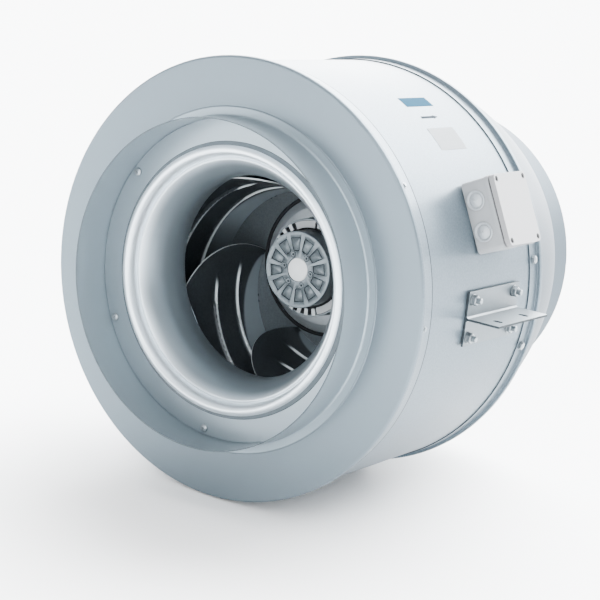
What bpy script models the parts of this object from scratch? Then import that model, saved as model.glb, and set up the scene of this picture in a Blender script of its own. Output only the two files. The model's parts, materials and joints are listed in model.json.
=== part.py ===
"""Inline duct fan for a 450 mm round duct, modelled as an assembly of separate solids.

Frame: the fan axis is Y and the air flows towards +Y. X points to the terminal box side, Z up.
The origin is on the axis, midway between the rims of the two spigots.
Axial places are written as depths behind the front face, so FRONT + depth is a Y coordinate.
"""
import math

import bmesh
import bpy
from mathutils import Matrix, Vector

# ---------------------------------------------------------------- driving dimensions (metres)
GAP = 0.0003                # clearance between touching pieces
SHEET = 0.0015              # casing sheet
ROUND = 48                  # sides of the large turned pieces
MIDDLE = 40                 # sides of the nozzle and the shroud
SMALL = 32                  # sides of the motor parts

SPIGOT_R = 0.224            # outer radius of the inlet spigot, for a 450 mm duct
SPIGOT_FRONT = 0.057        # how far the inlet spigot stands in front of the face
SPIGOT_REAR_END = 0.578     # depth of the outlet spigot's rim
FRONT = -(SPIGOT_REAR_END - SPIGOT_FRONT) / 2
DRUM_R = 0.298              # drum outer radius
DRUM_IN = DRUM_R - SHEET
BAND_R = DRUM_R + GAP + SHEET
LIP_R = 0.3048              # rolled lip of both end caps
LIP_WIDTH = 0.0085
FRONT_BAND = 0.035          # depth where the front cap's band ends
REAR_BAND = 0.3055          # depth where the rear cap's band starts
REAR_LIP = 0.327            # depth of the rear lip's front side
CONE_START = 0.336
CONE_END = 0.523
OUTLET_R = 0.2235

PLATE_STEP = -0.0012        # depth of the plate's raised seat for the spigot tube
PLATE_STEP_R = 0.2365       # outer edge of that seat
NOZZLE_SEAT = 0.0053        # depth of the plate's sunk seat for the nozzle
NOZZLE_SEAT_R = 0.206       # its inner edge
NOZZLE_FLANGE_R = 0.2215
NOZZLE_EDGE_R = 0.189       # where the nozzle's bead meets its flat flange
NOZZLE_FACE = 0.003
THROAT_R = 0.1408
NOZZLE_END = 0.0905
NOZZLE_END_R = 0.1455
NOZZLE_SCREWS = 6
NOZZLE_SCREW_R = 0.213
NOZZLE_SCREW_PHASE = 26.0   # degrees

IMPELLER_R = 0.225
BLADES = 5
BLADE_THICK = 0.002
BLADE_PHASE = 8.3           # degrees the impeller stands turned at rest
BLADE_GAP = 0.0006          # blade edge to shroud and to back plate
BLADE_TIP_R = 0.223
BLADE_ROOT_R = 0.1075       # leading edge on the back plate
BLADE_ROOT_ANGLE = 171.6    # degrees, where the leading edge meets the back plate
BLADE_SPREAD = 155.0        # degrees of wrap for each factor e of radius
BLADE_LEAN = (330.0, 650.0)  # degrees the blade lags per metre, and per metre squared, off the plate
LEAD_RISE = 0.0435          # how much further out the leading edge meets the shroud
SHROUD_IN_R = 0.1505
SHROUD_START = 0.0815
SHROUD_EDGE = 0.095
SHROUD_OUT = 0.150
PLATE_FACE = 0.237          # depth of the back plate's blade side
PLATE_THICK = 0.0025
PLATE_HOLE_R = 0.073
PLATE_SEAT = 0.229          # depth of its raised seat round the rotor

ROTOR_FACE = 0.1654
ROTOR_FACE_R = 0.0553
ROTOR_R = 0.0714
ROTOR_REAR = 0.262
ROTOR_SHOULDER = 0.1985
POCKETS = 12
POCKET_DEPTH = 0.002
POCKET_PHASE = 11.5         # degrees
SHAFT_R = 0.006
SHAFT_SPAN = (0.169, 0.2835)
TUBE_R = 0.0205             # bearing tube of the stator flange
TUBE_BORE = 0.0163
FLANGE_R = 0.074
FLANGE_FACE = 0.2845
FLANGE_REAR = 0.2992
BEARING_WIDTH = 0.010
FRONT_BEARING = 0.200
REAR_BEARING = 0.2683
BALLS = 7
SLOTS = 6                   # winding slots of the stator core
SLOT_R = 0.044

SUPPORT_FACE = FLANGE_REAR + GAP
SUPPORT_THICK = 0.003
SUPPORT_FOOT_R = 0.2955
SUPPORT_HALF = 14.5         # degrees, half the width of a foot
BOLT_ANGLE = 12.0           # degrees each side of a foot's middle
BOLT_DEPTH = 0.315

BOX_ANGLE = 25.3            # degrees above +X
BOX_DEPTH = 0.199           # depth of the box's middle
BOX_X = 0.044               # half its axial length
BOX_Z = 0.049               # half its width round the drum
BOX_FLOOR = DRUM_R + 0.0006
BOX_TOP = 0.3396
BOX_WALL = 0.0025
BOX_CORNER = 0.010          # solid corner blocks that take the lid screws
LID_BOTTOM = 0.3414
LID_TOP = 0.3490
ENTRY_R = 0.01025
ENTRY_HEIGHT = 0.3146
ENTRY_Z = 0.0217
LEAD_R = 0.00325

BRACKET_SPAN = (0.1265, 0.2675)
BRACKET_HALF = 0.0377
BRACKET_THICK = 0.003
SHELF_END = 0.350
SLOT_X = 0.334
SLOT_DEPTHS = (0.1535, 0.2265)
SLOT_LENGTH = 0.014
SLOT_WIDTH = 0.009
STUD_DEPTHS = (0.1375, 0.2515)
STUD_Z = 0.026

# ---------------------------------------------------------------- materials
# name: colour, metallic, roughness
FINISHES = {
    "casing_sheet": ((0.62, 0.68, 0.71), 0.35, 0.42),
    "nozzle_sheet": ((0.78, 0.81, 0.82), 0.7, 0.3),
    "impeller_steel": ((0.045, 0.05, 0.06), 0.4, 0.4),
    "hub_plate_steel": ((0.42, 0.46, 0.47), 0.5, 0.4),
    "rotor_casting": ((0.55, 0.59, 0.6), 0.7, 0.45),
    "zinc_fastener": ((0.72, 0.75, 0.76), 0.9, 0.3),
    "zinc_bracket": ((0.68, 0.72, 0.74), 0.7, 0.38),
    "steel_bright": ((0.6, 0.6, 0.62), 1.0, 0.25),
    "stator_steel": ((0.3, 0.3, 0.32), 0.8, 0.5),
    "copper_winding": ((0.7, 0.32, 0.12), 0.9, 0.35),
    "box_plastic": ((0.4, 0.42, 0.44), 0.0, 0.5),
    "lid_plastic": ((0.68, 0.69, 0.72), 0.0, 0.45),
    "entry_membrane": ((0.6, 0.64, 0.67), 0.0, 0.35),
    "seal_rubber": ((0.03, 0.03, 0.03), 0.0, 0.7),
    "terminal_plastic": ((0.75, 0.73, 0.65), 0.0, 0.5),
    "cap_plastic": ((0.72, 0.75, 0.76), 0.0, 0.5),
}


def clear_scene():
    """Remove every object of the open scene."""
    for old in list(bpy.data.objects):
        bpy.data.objects.remove(old, do_unlink=True)


def finish(slot):
    """The Principled material of one slot, made once."""
    material = bpy.data.materials.get(slot)
    if material is None:
        colour, metallic, roughness = FINISHES[slot]
        material = bpy.data.materials.new(slot)
        material.use_nodes = True
        shader = material.node_tree.nodes["Principled BSDF"]
        shader.inputs["Base Color"].default_value = (*colour, 1.0)
        shader.inputs["Metallic"].default_value = metallic
        shader.inputs["Roughness"].default_value = roughness
    return material


def add_object(name, bm, slot, matrix=None, parent=None):
    """Turn a bmesh into a named, placed and shaded object."""
    bmesh.ops.recalc_face_normals(bm, faces=bm.faces)
    mesh = bpy.data.meshes.new(name)
    bm.to_mesh(mesh)
    bm.free()
    mesh.shade_smooth()
    mesh.set_sharp_from_angle(angle=math.radians(32))
    obj = bpy.data.objects.new(name, mesh)
    bpy.context.scene.collection.objects.link(obj)
    if slot:
        mesh.materials.append(finish(slot))
    obj.matrix_world = matrix or Matrix.Translation((0, FRONT, 0))
    if parent:
        obj.parent = parent
        obj.matrix_parent_inverse = parent.matrix_world.inverted()
    return obj


def add_empty(name):
    """An empty on the fan axis, which the turning pieces hang from."""
    empty = bpy.data.objects.new(name, None)
    bpy.context.scene.collection.objects.link(empty)
    empty.matrix_world = Matrix.Identity(4)
    return empty


def as_cutter(obj):
    """Hide a shape that only cuts others."""
    obj.hide_render = True
    obj.display_type = 'WIRE'
    return obj


def boolean(obj, other, operation='DIFFERENCE'):
    """Cut or join another object into this one."""
    modifier = obj.modifiers.new(other.name, 'BOOLEAN')
    modifier.operation = operation
    modifier.object = other
    modifier.solver = 'EXACT'


# ---------------------------------------------------------------- shape helpers
def arc(centre, radius, start, end, steps):
    """Points (r, h) along an arc, angles in degrees."""
    points = []
    for i in range(steps + 1):
        a = math.radians(start + (end - start) * i / steps)
        points.append((centre[0] + radius * math.cos(a), centre[1] + radius * math.sin(a)))
    return points


def curve(start, control, end, steps):
    """Points of a quadratic curve between two points."""
    points = []
    for i in range(steps + 1):
        t = i / steps
        weights = ((1 - t) ** 2, 2 * t * (1 - t), t ** 2)
        points.append(tuple(weights[0] * a + weights[1] * b + weights[2] * c
                            for a, b, c in zip(start, control, end)))
    return points


def sheet_profile(points, thickness):
    """Close an open profile into a strip of even thickness, added on its left side."""
    offset = []
    for i, (r, h) in enumerate(points):
        before = Vector(points[max(i - 1, 0)])
        after = Vector(points[min(i + 1, len(points) - 1)])
        along = (after - before).normalized()
        offset.append((r - along.y * thickness, h + along.x * thickness))
    return list(points) + offset[::-1]


def turn(bm, profile, sides=ROUND, span=360.0, start=0.0, hexed=()):
    """Turn a closed profile (r, h) round local Y. Stations listed in hexed are hexagons."""
    whole = span >= 360.0
    count = sides if whole else sides + 1
    rings = []
    for number, (r, h) in enumerate(profile):
        if r < 1e-6:
            rings.append([bm.verts.new((0, h, 0))] * count)
            continue
        ring = []
        for i in range(count):
            a = math.radians(start + span * i / sides)
            radius = r
            if number in hexed and i % 2 == 0:
                radius = r / math.cos(math.pi / 6)
            ring.append(bm.verts.new((radius * math.cos(a), h, radius * math.sin(a))))
        rings.append(ring)
    for upper, lower in zip(rings, rings[1:] + rings[:1]):
        if upper[0] is upper[1] and lower[0] is lower[1]:
            continue
        for i in range(sides):
            j = (i + 1) % count
            corners = []
            for vert in (upper[i], upper[j], lower[j], lower[i]):
                if vert not in corners:
                    corners.append(vert)
            bm.faces.new(corners)
    if not whole:
        bm.faces.new([ring[0] for ring in rings])
        bm.faces.new([ring[-1] for ring in rings])


def turned(name, profile, slot, matrix=None, parent=None, **how):
    """An object turned round the fan axis, or round local Y of its matrix."""
    bm = bmesh.new()
    turn(bm, profile, **how)
    return add_object(name, bm, slot, matrix, parent)


def prism(bm, outline, low, high, place):
    """Extrude an outline (u, v) from low to high. place turns (u, v, w) into a point."""
    bottom = [bm.verts.new(place(u, v, low)) for u, v in outline]
    top = [bm.verts.new(place(u, v, high)) for u, v in outline]
    bm.faces.new(bottom[::-1])
    bm.faces.new(top)
    for i in range(len(outline)):
        j = (i + 1) % len(outline)
        bm.faces.new((bottom[i], bottom[j], top[j], top[i]))


def rounded_rectangle(half_u, half_v, radius, steps=3):
    """Outline of a rectangle with round corners."""
    points = []
    for quarter, (su, sv) in enumerate(((1, 1), (-1, 1), (-1, -1), (1, -1))):
        centre = (su * (half_u - radius), sv * (half_v - radius))
        points += arc(centre, radius, 90 * quarter, 90 * quarter + 90, steps)
    return points


def notched_rectangle(half_u, half_v, notch):
    """Outline of a rectangle with square notches in its corners."""
    points = []
    for su, sv, flip in ((1, 1, False), (-1, 1, True), (-1, -1, False), (1, -1, True)):
        corner = [(su * half_u, sv * (half_v - notch)),
                  (su * (half_u - notch), sv * (half_v - notch)),
                  (su * (half_u - notch), sv * half_v)]
        points += corner[::-1] if flip else corner
    return points


def radial(angle, depth):
    """Frame on the axis: local Y points outwards at angle, X to the inlet, Z round the drum."""
    a = math.radians(angle)
    out = Vector((math.cos(a), 0, math.sin(a)))
    round_drum = Vector((-math.sin(a), 0, math.cos(a)))
    inlet = out.cross(round_drum)
    matrix = Matrix((inlet, out, round_drum)).transposed().to_4x4()
    matrix.translation = (0, FRONT + depth, 0)
    return matrix


def at_angle(radius, angle, depth=0.0):
    """Matrix of a piece with its axis along Y, at a radius and angle from the fan axis."""
    a = math.radians(angle)
    return Matrix.Translation((radius * math.cos(a), FRONT + depth, radius * math.sin(a)))


def pins(name, matrices, radius, low, high, sides=10):
    """One cutter made of round pins along local Y of each matrix."""
    bm = bmesh.new()
    for matrix in matrices:
        pin = bmesh.new()
        turn(pin, [(0, low), (radius, low), (radius, high), (0, high)], sides=sides)
        bmesh.ops.recalc_face_normals(pin, faces=pin.faces)
        bmesh.ops.transform(pin, matrix=matrix, verts=pin.verts)
        mesh = bpy.data.meshes.new(name + "_pin")
        pin.to_mesh(mesh)
        pin.free()
        bm.from_mesh(mesh)
        bpy.data.meshes.remove(mesh)
    return as_cutter(add_object(name, bm, None, Matrix.Identity(4)))


# ---------------------------------------------------------------- places shared by pieces
def nozzle_screw_places():
    step = 360 / NOZZLE_SCREWS
    return [at_angle(NOZZLE_SCREW_R, NOZZLE_SCREW_PHASE + step * i) for i in range(NOZZLE_SCREWS)]


def support_bolt_places():
    return [radial(side + sign * BOLT_ANGLE, BOLT_DEPTH) for side in (0, 180) for sign in (1, -1)]


# ---------------------------------------------------------------- casing
def make_inlet_spigot():
    """Straight tube that stands on the front end plate, for the duct to slide over."""
    inner, end = SPIGOT_R - SHEET, PLATE_STEP - GAP
    profile = [(SPIGOT_R, -SPIGOT_FRONT), (SPIGOT_R, end), (inner, end), (inner, -SPIGOT_FRONT)]
    turned("inlet_spigot_tube", profile, "casing_sheet")


def make_front_end_plate(screw_holes):
    """Flat front face with its rolled lip and band, the weld collar and the sunk nozzle seat."""
    inner = SPIGOT_R - SHEET
    collar = SPIGOT_R + GAP
    profile = [(inner, PLATE_STEP), (collar, PLATE_STEP), (collar, PLATE_STEP - 0.002)]
    profile += [(collar + 0.0022, PLATE_STEP), (PLATE_STEP_R, PLATE_STEP), (PLATE_STEP_R + 0.0008, 0.0)]
    profile += arc((LIP_R - 0.004, 0.004), 0.004, -90, 0, 2)
    profile += [(LIP_R, LIP_WIDTH), (BAND_R, LIP_WIDTH), (BAND_R, FRONT_BAND)]
    profile += [(DRUM_R + GAP, FRONT_BAND), (DRUM_R + GAP, SHEET), (SPIGOT_R, SHEET)]
    profile += [(SPIGOT_R, NOZZLE_SEAT + SHEET), (NOZZLE_SEAT_R, NOZZLE_SEAT + SHEET)]
    profile += [(NOZZLE_SEAT_R, NOZZLE_SEAT), (inner, NOZZLE_SEAT)]
    plate = turned("front_end_plate", profile, "casing_sheet")
    boolean(plate, screw_holes)


def make_drum_shell(bolt_holes):
    """Plain rolled drum between the two end caps."""
    profile = [(DRUM_R, 0.003), (DRUM_R, 0.331), (DRUM_IN, 0.331), (DRUM_IN, 0.003)]
    drum = turned("drum_shell", profile, "casing_sheet")
    boolean(drum, bolt_holes)
    lead_hole = pins("lead_hole_cutter", [radial(BOX_ANGLE, BOX_DEPTH)], 0.010, 0.285, 0.3052, 16)
    boolean(drum, lead_hole)
    return lead_hole


def make_rear_cone(bolt_holes):
    """Rear end cap: band, rolled lip, cone and outlet spigot in one pressed shell."""
    cone = curve((0.2985, CONE_START), (0.2700, 0.4560), (0.2290, CONE_END), 5)
    throat = arc((OUTLET_R + 0.0065, CONE_END + 0.0095), 0.0065, 200, 180, 1)
    outer = [(DRUM_R + GAP + SHEET, REAR_BAND), (BAND_R, REAR_LIP), (LIP_R, REAR_LIP)]
    outer += arc((LIP_R - 0.003, REAR_LIP + 0.0055), 0.003, 0, 90, 1)
    outer += cone + throat + [(OUTLET_R, SPIGOT_REAR_END)]
    inner = [(DRUM_R + GAP, REAR_BAND), (DRUM_R + GAP, 0.3345)]
    inner += [(r - 0.0019, h - 0.0004) for r, h in cone[1:]]
    inner += [(OUTLET_R - SHEET, CONE_END + 0.011), (OUTLET_R - SHEET, SPIGOT_REAR_END)]
    shell = turned("rear_cone", outer + inner[::-1], "casing_sheet")
    boolean(shell, bolt_holes)


def make_inlet_nozzle(screw_holes):
    """Spun inlet nozzle: flat flange, raised bead, second roll, bell mouth and throat."""
    front = [(NOZZLE_FLANGE_R, NOZZLE_FACE), (NOZZLE_EDGE_R, NOZZLE_FACE)]
    front += arc((0.1795, 0.0050), 0.0092, -20, -150, 3)
    front += [(0.1694, 0.0125)]
    front += curve((0.1640, 0.0128), (0.1440, 0.0250), (THROAT_R, 0.0500), 3)
    front += [(0.1424, 0.076), (NOZZLE_END_R, NOZZLE_END)]
    nozzle = turned("inlet_nozzle", sheet_profile(front, -SHEET), "nozzle_sheet", sides=MIDDLE)
    boolean(nozzle, screw_holes)


def make_nozzle_screws():
    """Pan head screws that hold the nozzle to the front end plate."""
    head, shank = 0.0060, 0.0025
    top = NOZZLE_FACE - GAP
    profile = [(0, top - 0.0034), (0.0040, top - 0.0031), (head, top - 0.0012), (head, top)]
    profile += [(shank, top), (shank, 0.0120), (0, 0.0120)]
    for number, place in enumerate(nozzle_screw_places(), 1):
        turned(f"nozzle_screw_{number}", profile, "zinc_fastener", place, sides=10)


def make_motor_support(bolt_holes):
    """Cross member: a disc behind the motor and two wide arms with feet on the drum wall."""
    rear = SUPPORT_FACE + SUPPORT_THICK
    profile = [(0, SUPPORT_FACE), (0.080, SUPPORT_FACE), (0.080, rear), (0, rear)]
    disc = turned("motor_support", profile, "zinc_bracket", sides=SMALL)
    inside, foot_end = SUPPORT_FOOT_R - 0.0025, 0.3265
    foot_profile = [(inside, SUPPORT_FACE), (SUPPORT_FOOT_R, SUPPORT_FACE)]
    foot_profile += [(SUPPORT_FOOT_R, foot_end), (inside, foot_end)]
    for side, name in ((0, "arm_plus"), (180, "arm_minus")):
        outline = [(0.055, -0.045), (0.170, -0.032)]
        outline += arc((0, 0), SUPPORT_FOOT_R - 0.001, -SUPPORT_HALF, SUPPORT_HALF, 6)
        outline += [(0.170, 0.032), (0.055, 0.045)]
        turned_out = Matrix.Rotation(math.radians(-side), 4, 'Y')
        bm = bmesh.new()
        prism(bm, outline, SUPPORT_FACE + 0.0002, rear - 0.0002, lambda u, v, w: (u, w, v))
        arm = add_object(name, bm, None, Matrix.Translation((0, FRONT, 0)) @ turned_out)
        boolean(disc, as_cutter(arm), 'UNION')
        foot = turned(name + "_foot", foot_profile, None, sides=6, span=2 * SUPPORT_HALF,
                      start=side - SUPPORT_HALF)
        boolean(disc, as_cutter(foot), 'UNION')
    boolean(disc, bolt_holes)


def make_support_bolts():
    """Hex bolts through the rear band, the drum and the feet of the motor support."""
    seat = BAND_R + GAP
    tip = 0.2870
    profile = [(0, seat + 0.0042), (0.0050, seat + 0.0042), (0.0050, seat), (0.0030, seat)]
    profile += [(0.0030, tip), (0, tip)]
    names = ("right_upper", "right_lower", "left_lower", "left_upper")
    for name, place in zip(names, support_bolt_places()):
        turned("support_bolt_" + name, profile, "zinc_fastener", place, sides=12, hexed=(1, 2))


# ---------------------------------------------------------------- impeller
def shroud_depth(r):
    """Depth of the shroud's inner surface at radius r."""
    t = max(0.0, min(1.0, (r - SHROUD_IN_R) / (IMPELLER_R - SHROUD_IN_R)))
    return SHROUD_OUT - (SHROUD_OUT - SHROUD_EDGE) * (1 - t) ** 2.2


def make_impeller_shroud(axis):
    """Flared front ring of the impeller, round the nozzle's outlet."""
    steps = 5
    inside = [(SHROUD_IN_R, SHROUD_START)]
    for i in range(steps + 1):
        r = SHROUD_IN_R + (IMPELLER_R - SHROUD_IN_R) * (i / steps) ** 1.4
        inside.append((r, shroud_depth(r)))
    turned("impeller_shroud", sheet_profile(inside, -0.0018), "impeller_steel", parent=axis,
           sides=MIDDLE)


def make_back_plate(axis):
    """Hub plate: a flat disc with a raised seat round the rotor."""
    face = [(PLATE_HOLE_R, PLATE_SEAT), (0.088, PLATE_SEAT), (0.104, PLATE_FACE)]
    face += [(IMPELLER_R, PLATE_FACE)]
    rear = [(r, h + PLATE_THICK) for r, h in face]
    turned("impeller_back_plate", face + rear[::-1], "hub_plate_steel", parent=axis)


def blade_depth(r, span):
    """Depth at radius r between the shroud, where span is 0, and the back plate."""
    low = shroud_depth(r / math.cos(math.pi / MIDDLE)) + BLADE_GAP
    return low + (PLATE_FACE - BLADE_GAP - low) * span


def lead_radius(span):
    """Radius of the leading edge: nearly straight at the back plate, flared towards the shroud."""
    off = 1 - span
    return BLADE_ROOT_R + LEAD_RISE * (off ** 1.3 + off ** 4) / 2


def blade_point(chord, span):
    """Point on the blade's middle surface. chord runs to the tip, span from shroud to hub."""
    lead = lead_radius(span)
    r = lead * (BLADE_TIP_R / lead) ** chord
    depth = blade_depth(r, span)
    off = PLATE_FACE - depth
    angle = BLADE_ROOT_ANGLE + BLADE_SPREAD * math.log(r / BLADE_ROOT_R)
    angle -= BLADE_LEAN[0] * off - BLADE_LEAN[1] * off ** 2
    a = math.radians(angle + BLADE_PHASE)
    return Vector((r * math.cos(a), depth, r * math.sin(a)))


def blade_mesh(chords=10, spans=4):
    """Closed blade: the middle surface moved half a thickness to both sides."""
    bm = bmesh.new()
    grid = [[blade_point(i / chords, j / spans) for j in range(spans + 1)] for i in range(chords + 1)]
    sides = []
    for sign in (1, -1):
        layer = []
        for i in range(chords + 1):
            row = []
            for j in range(spans + 1):
                along = grid[min(i + 1, chords)][j] - grid[max(i - 1, 0)][j]
                across = grid[i][min(j + 1, spans)] - grid[i][max(j - 1, 0)]
                normal = along.cross(across)
                normal.y = 0
                normal.normalize()
                corner = grid[i][j] + normal * sign * BLADE_THICK / 2
                corner.y = blade_depth(math.hypot(corner.x, corner.z), j / spans)
                row.append(bm.verts.new(corner))
            layer.append(row)
        sides.append(layer)
        for i in range(chords):
            for j in range(spans):
                bm.faces.new((layer[i][j], layer[i + 1][j], layer[i + 1][j + 1], layer[i][j + 1]))
    rim = [(i, 0) for i in range(chords)] + [(chords, j) for j in range(spans)]
    rim += [(i, spans) for i in range(chords, 0, -1)] + [(0, j) for j in range(spans, 0, -1)]
    for (i, j), (k, m) in zip(rim, rim[1:] + rim[:1]):
        bm.faces.new((sides[0][i][j], sides[0][k][m], sides[1][k][m], sides[1][i][j]))
    return bm


def make_blades(axis):
    """Backward-curved blades, all the same shape, turned round the axis."""
    for number in range(BLADES):
        turned_by = Matrix.Rotation(math.radians(-360 / BLADES * number), 4, 'Y')
        add_object(f"impeller_blade_{number + 1}", blade_mesh(), "impeller_steel",
                   Matrix.Translation((0, FRONT, 0)) @ turned_by, axis)


# ---------------------------------------------------------------- motor
def make_rotor_bell(axis):
    """External rotor: pocketed front boss, shoulder, cylinder and the flange for the back plate."""
    edge = 0.0012
    profile = [(0.0063, 0.1679), (0.0172, 0.1679), (0.0172, ROTOR_FACE), (ROTOR_FACE_R - edge, ROTOR_FACE)]
    profile += [(ROTOR_FACE_R, ROTOR_FACE + edge), (ROTOR_FACE_R, ROTOR_SHOULDER)]
    profile += [(0.0690, ROTOR_SHOULDER), (0.0690, 0.1955), (ROTOR_R, 0.1955), (ROTOR_R, 0.2318)]
    profile += [(0.086, 0.2318), (0.086, 0.2345), (ROTOR_R, 0.2345), (ROTOR_R, ROTOR_REAR)]
    profile += [(0.0665, ROTOR_REAR), (0.0665, 0.2025), (0.051, 0.2025), (0.051, 0.1715)]
    profile += [(0.014, 0.1715), (0.014, 0.190), (0.0063, 0.190)]
    bell = turned("rotor_bell", profile, "rotor_casting", parent=axis, sides=SMALL)
    bm = bmesh.new()
    inner, outer = 0.0265, 0.0468
    for i in range(POCKETS):
        a = math.radians(POCKET_PHASE + 360 / POCKETS * i)
        out = Vector((math.cos(a), math.sin(a)))
        side = Vector((-out.y, out.x))
        outline = [out * inner - side * 0.0046, out * outer - side * 0.0080,
                   out * outer + side * 0.0080, out * inner + side * 0.0046]
        prism(bm, [tuple(p) for p in outline], ROTOR_FACE - 0.001, ROTOR_FACE + POCKET_DEPTH,
              lambda u, v, w: (u, w, v))
    boolean(bell, as_cutter(add_object("pocket_cutter", bm, None)))


def make_rotor_cap(axis):
    """Plain domed cap over the shaft's end."""
    profile = [(0, 0.1641), (0.0110, 0.1644), (0.0158, 0.1650), (0.0168, 0.1660)]
    profile += [(0.0168, 0.1676), (0, 0.1676)]
    turned("rotor_cap", profile, "cap_plastic", parent=axis, sides=20)


def make_shaft(axis):
    """Shaft fixed in the bell and carried by the two bearings."""
    start, end = SHAFT_SPAN
    profile = [(0, start), (0.0052, start), (SHAFT_R, start + 0.0008)]
    profile += [(SHAFT_R, end - 0.0008), (0.0052, end), (0, end)]
    turned("rotor_shaft", profile, "steel_bright", parent=axis, sides=20)


def make_circlip(axis):
    """Open retaining ring on the shaft, in front of the front bearing."""
    profile = [(SHAFT_R + GAP, 0.1972), (0.0094, 0.1972), (0.0094, 0.1984), (SHAFT_R + GAP, 0.1984)]
    turned("shaft_circlip", profile, "steel_bright", parent=axis, sides=14, span=300.0, start=30.0)


def make_bearing(name, start, axis, cage_axis):
    """Ball bearing: inner race on the shaft, outer race in the tube, and the balls in their cage."""
    end = start + BEARING_WIDTH
    middle = (start + end) / 2
    pitch, ball = 0.0112, 0.0024
    inner = [(SHAFT_R + GAP, start), (0.0085, start), (0.0085, end), (SHAFT_R + GAP, end)]
    outer = [(0.0139, start), (TUBE_BORE - GAP, start), (TUBE_BORE - GAP, end), (0.0139, end)]
    turned(name + "_inner_race", inner, "steel_bright", parent=axis, sides=20)
    turned(name + "_outer_race", outer, "steel_bright", sides=20)
    ring = [(0.0104, middle - 0.003), (0.0120, middle - 0.003)]
    ring += [(0.0120, middle + 0.003), (0.0104, middle + 0.003)]
    cage = turned(name + "_ball_cage", ring, "steel_bright", parent=cage_axis, sides=14)
    bm = bmesh.new()
    for i in range(BALLS):
        a = 2 * math.pi * (i + 0.5) / BALLS
        place = Matrix.Translation((pitch * math.cos(a), middle, pitch * math.sin(a)))
        bmesh.ops.create_uvsphere(bm, u_segments=6, v_segments=4, radius=ball, matrix=place)
    boolean(cage, as_cutter(add_object(name + "_balls", bm, None)), 'UNION')


def make_wave_washer():
    """Waved spring ring that preloads the rear bearing."""
    bm = bmesh.new()
    sides = 24
    inner, outer, thick, wave, middle = 0.0108, 0.0157, 0.0006, 0.0009, 0.2806
    rows = []
    for r, half in ((inner, -1), (outer, -1), (outer, 1), (inner, 1)):
        ring = []
        for i in range(sides):
            a = 2 * math.pi * i / sides
            h = middle + wave * math.cos(3 * a) + half * thick / 2
            ring.append(bm.verts.new((r * math.cos(a), h, r * math.sin(a))))
        rows.append(ring)
    for first, second in zip(rows, rows[1:] + rows[:1]):
        for i in range(sides):
            j = (i + 1) % sides
            bm.faces.new((first[i], first[j], second[j], second[i]))
    add_object("bearing_wave_washer", bm, "steel_bright")


def make_stator_flange():
    """Fixed rear flange of the motor with the bearing tube."""
    profile = [(0, 0.2860), (TUBE_BORE, 0.2860), (TUBE_BORE, 0.2680), (0.0140, 0.2665), (0.0140, 0.2118),
               (TUBE_BORE, 0.2103), (TUBE_BORE, 0.1990), (TUBE_R, 0.1990), (TUBE_R, FLANGE_FACE),
               (0.0700, FLANGE_FACE), (0.0700, 0.2645), (FLANGE_R, 0.2645), (FLANGE_R, FLANGE_REAR - 0.002),
               (FLANGE_R - 0.002, FLANGE_REAR), (0, FLANGE_REAR)]
    turned("stator_flange", profile, "rotor_casting", sides=SMALL)


def make_stator_core():
    """Laminated core pressed on the bearing tube, with round winding slots."""
    front, rear = 0.2120, 0.2500
    profile = [(TUBE_R + GAP, front), (0.0655, front), (0.0655, rear), (TUBE_R + GAP, rear)]
    core = turned("stator_core", profile, "stator_steel", sides=24)
    places = [at_angle(SLOT_R, 360 / SLOTS * i) for i in range(SLOTS)]
    boolean(core, pins("slot_cutter", places, 0.0080, front - 0.002, rear + 0.002, 10))


def make_stator_winding():
    """Copper: a ring of end turns on both sides of the core, joined through its slots."""
    front = [(0.0330, 0.2055), (0.0560, 0.2055), (0.0560, 0.2117), (0.0330, 0.2117)]
    rear = [(0.0330, 0.2503), (0.0560, 0.2503), (0.0560, 0.2595), (0.0330, 0.2595)]
    winding = turned("stator_winding", front, "copper_winding", sides=20)
    rear_ring = turned("rear_end_turns", rear, None, sides=20)
    places = [at_angle(SLOT_R, 360 / SLOTS * i) for i in range(SLOTS)]
    boolean(winding, pins("slot_bars", places, 0.0075, 0.2090, 0.2530, 8), 'UNION')
    boolean(winding, as_cutter(rear_ring), 'UNION')


# ---------------------------------------------------------------- lead and terminal box
def lead_route():
    """Middle line of the motor lead in the box's plane, as (depth, radius)."""
    points = [(0.2915, FLANGE_R + GAP), (0.2915, 0.105), (0.2915, 0.140), (0.2915, 0.175)]
    points += [(0.2465 + dx, 0.200 + dr) for dx, dr in arc((0, 0), 0.045, 0, 90, 6)]
    points += [(0.234 + dx, 0.280 + dr) for dx, dr in arc((0, 0), 0.035, -90, -180, 5)]
    points += [(0.199, 0.290), (0.199, 0.300), (0.199, 0.3165)]
    return points


def make_motor_lead():
    """Sheathed lead from the stator flange through the drum wall to the terminal block."""
    data = bpy.data.curves.new("motor_lead", 'CURVE')
    data.dimensions = '3D'
    data.bevel_depth = LEAD_R
    data.bevel_resolution = 2
    data.render_resolution_u = 0
    data.use_fill_caps = True
    spline = data.splines.new('POLY')
    route = lead_route()
    spline.points.add(len(route) - 1)
    for point, (depth, r) in zip(spline.points, route):
        point.co = (BOX_DEPTH - depth, r, 0, 1)
    data.materials.append(finish("seal_rubber"))
    lead = bpy.data.objects.new("motor_lead", data)
    bpy.context.scene.collection.objects.link(lead)
    lead.matrix_world = radial(BOX_ANGLE, BOX_DEPTH)


def make_lead_grommet(frame):
    """Rubber grommet in the drum wall and the box floor."""
    bore = LEAD_R + 0.0004
    profile = [(bore, 0.2925), (0.0125, 0.2925), (0.0125, 0.2950), (0.0095, 0.2950), (0.0095, 0.3016),
               (0.0120, 0.3016), (0.0120, 0.3038), (bore, 0.3038)]
    turned("lead_grommet", profile, "seal_rubber", frame, sides=16)


def box_prism(name, outline, low, high, slot, frame):
    """Extrude an outline (x, z) outwards between two heights in the box's frame."""
    bm = bmesh.new()
    prism(bm, outline, low, high, lambda u, v, w: (u, w, v))
    return add_object(name, bm, slot, frame)


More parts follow.
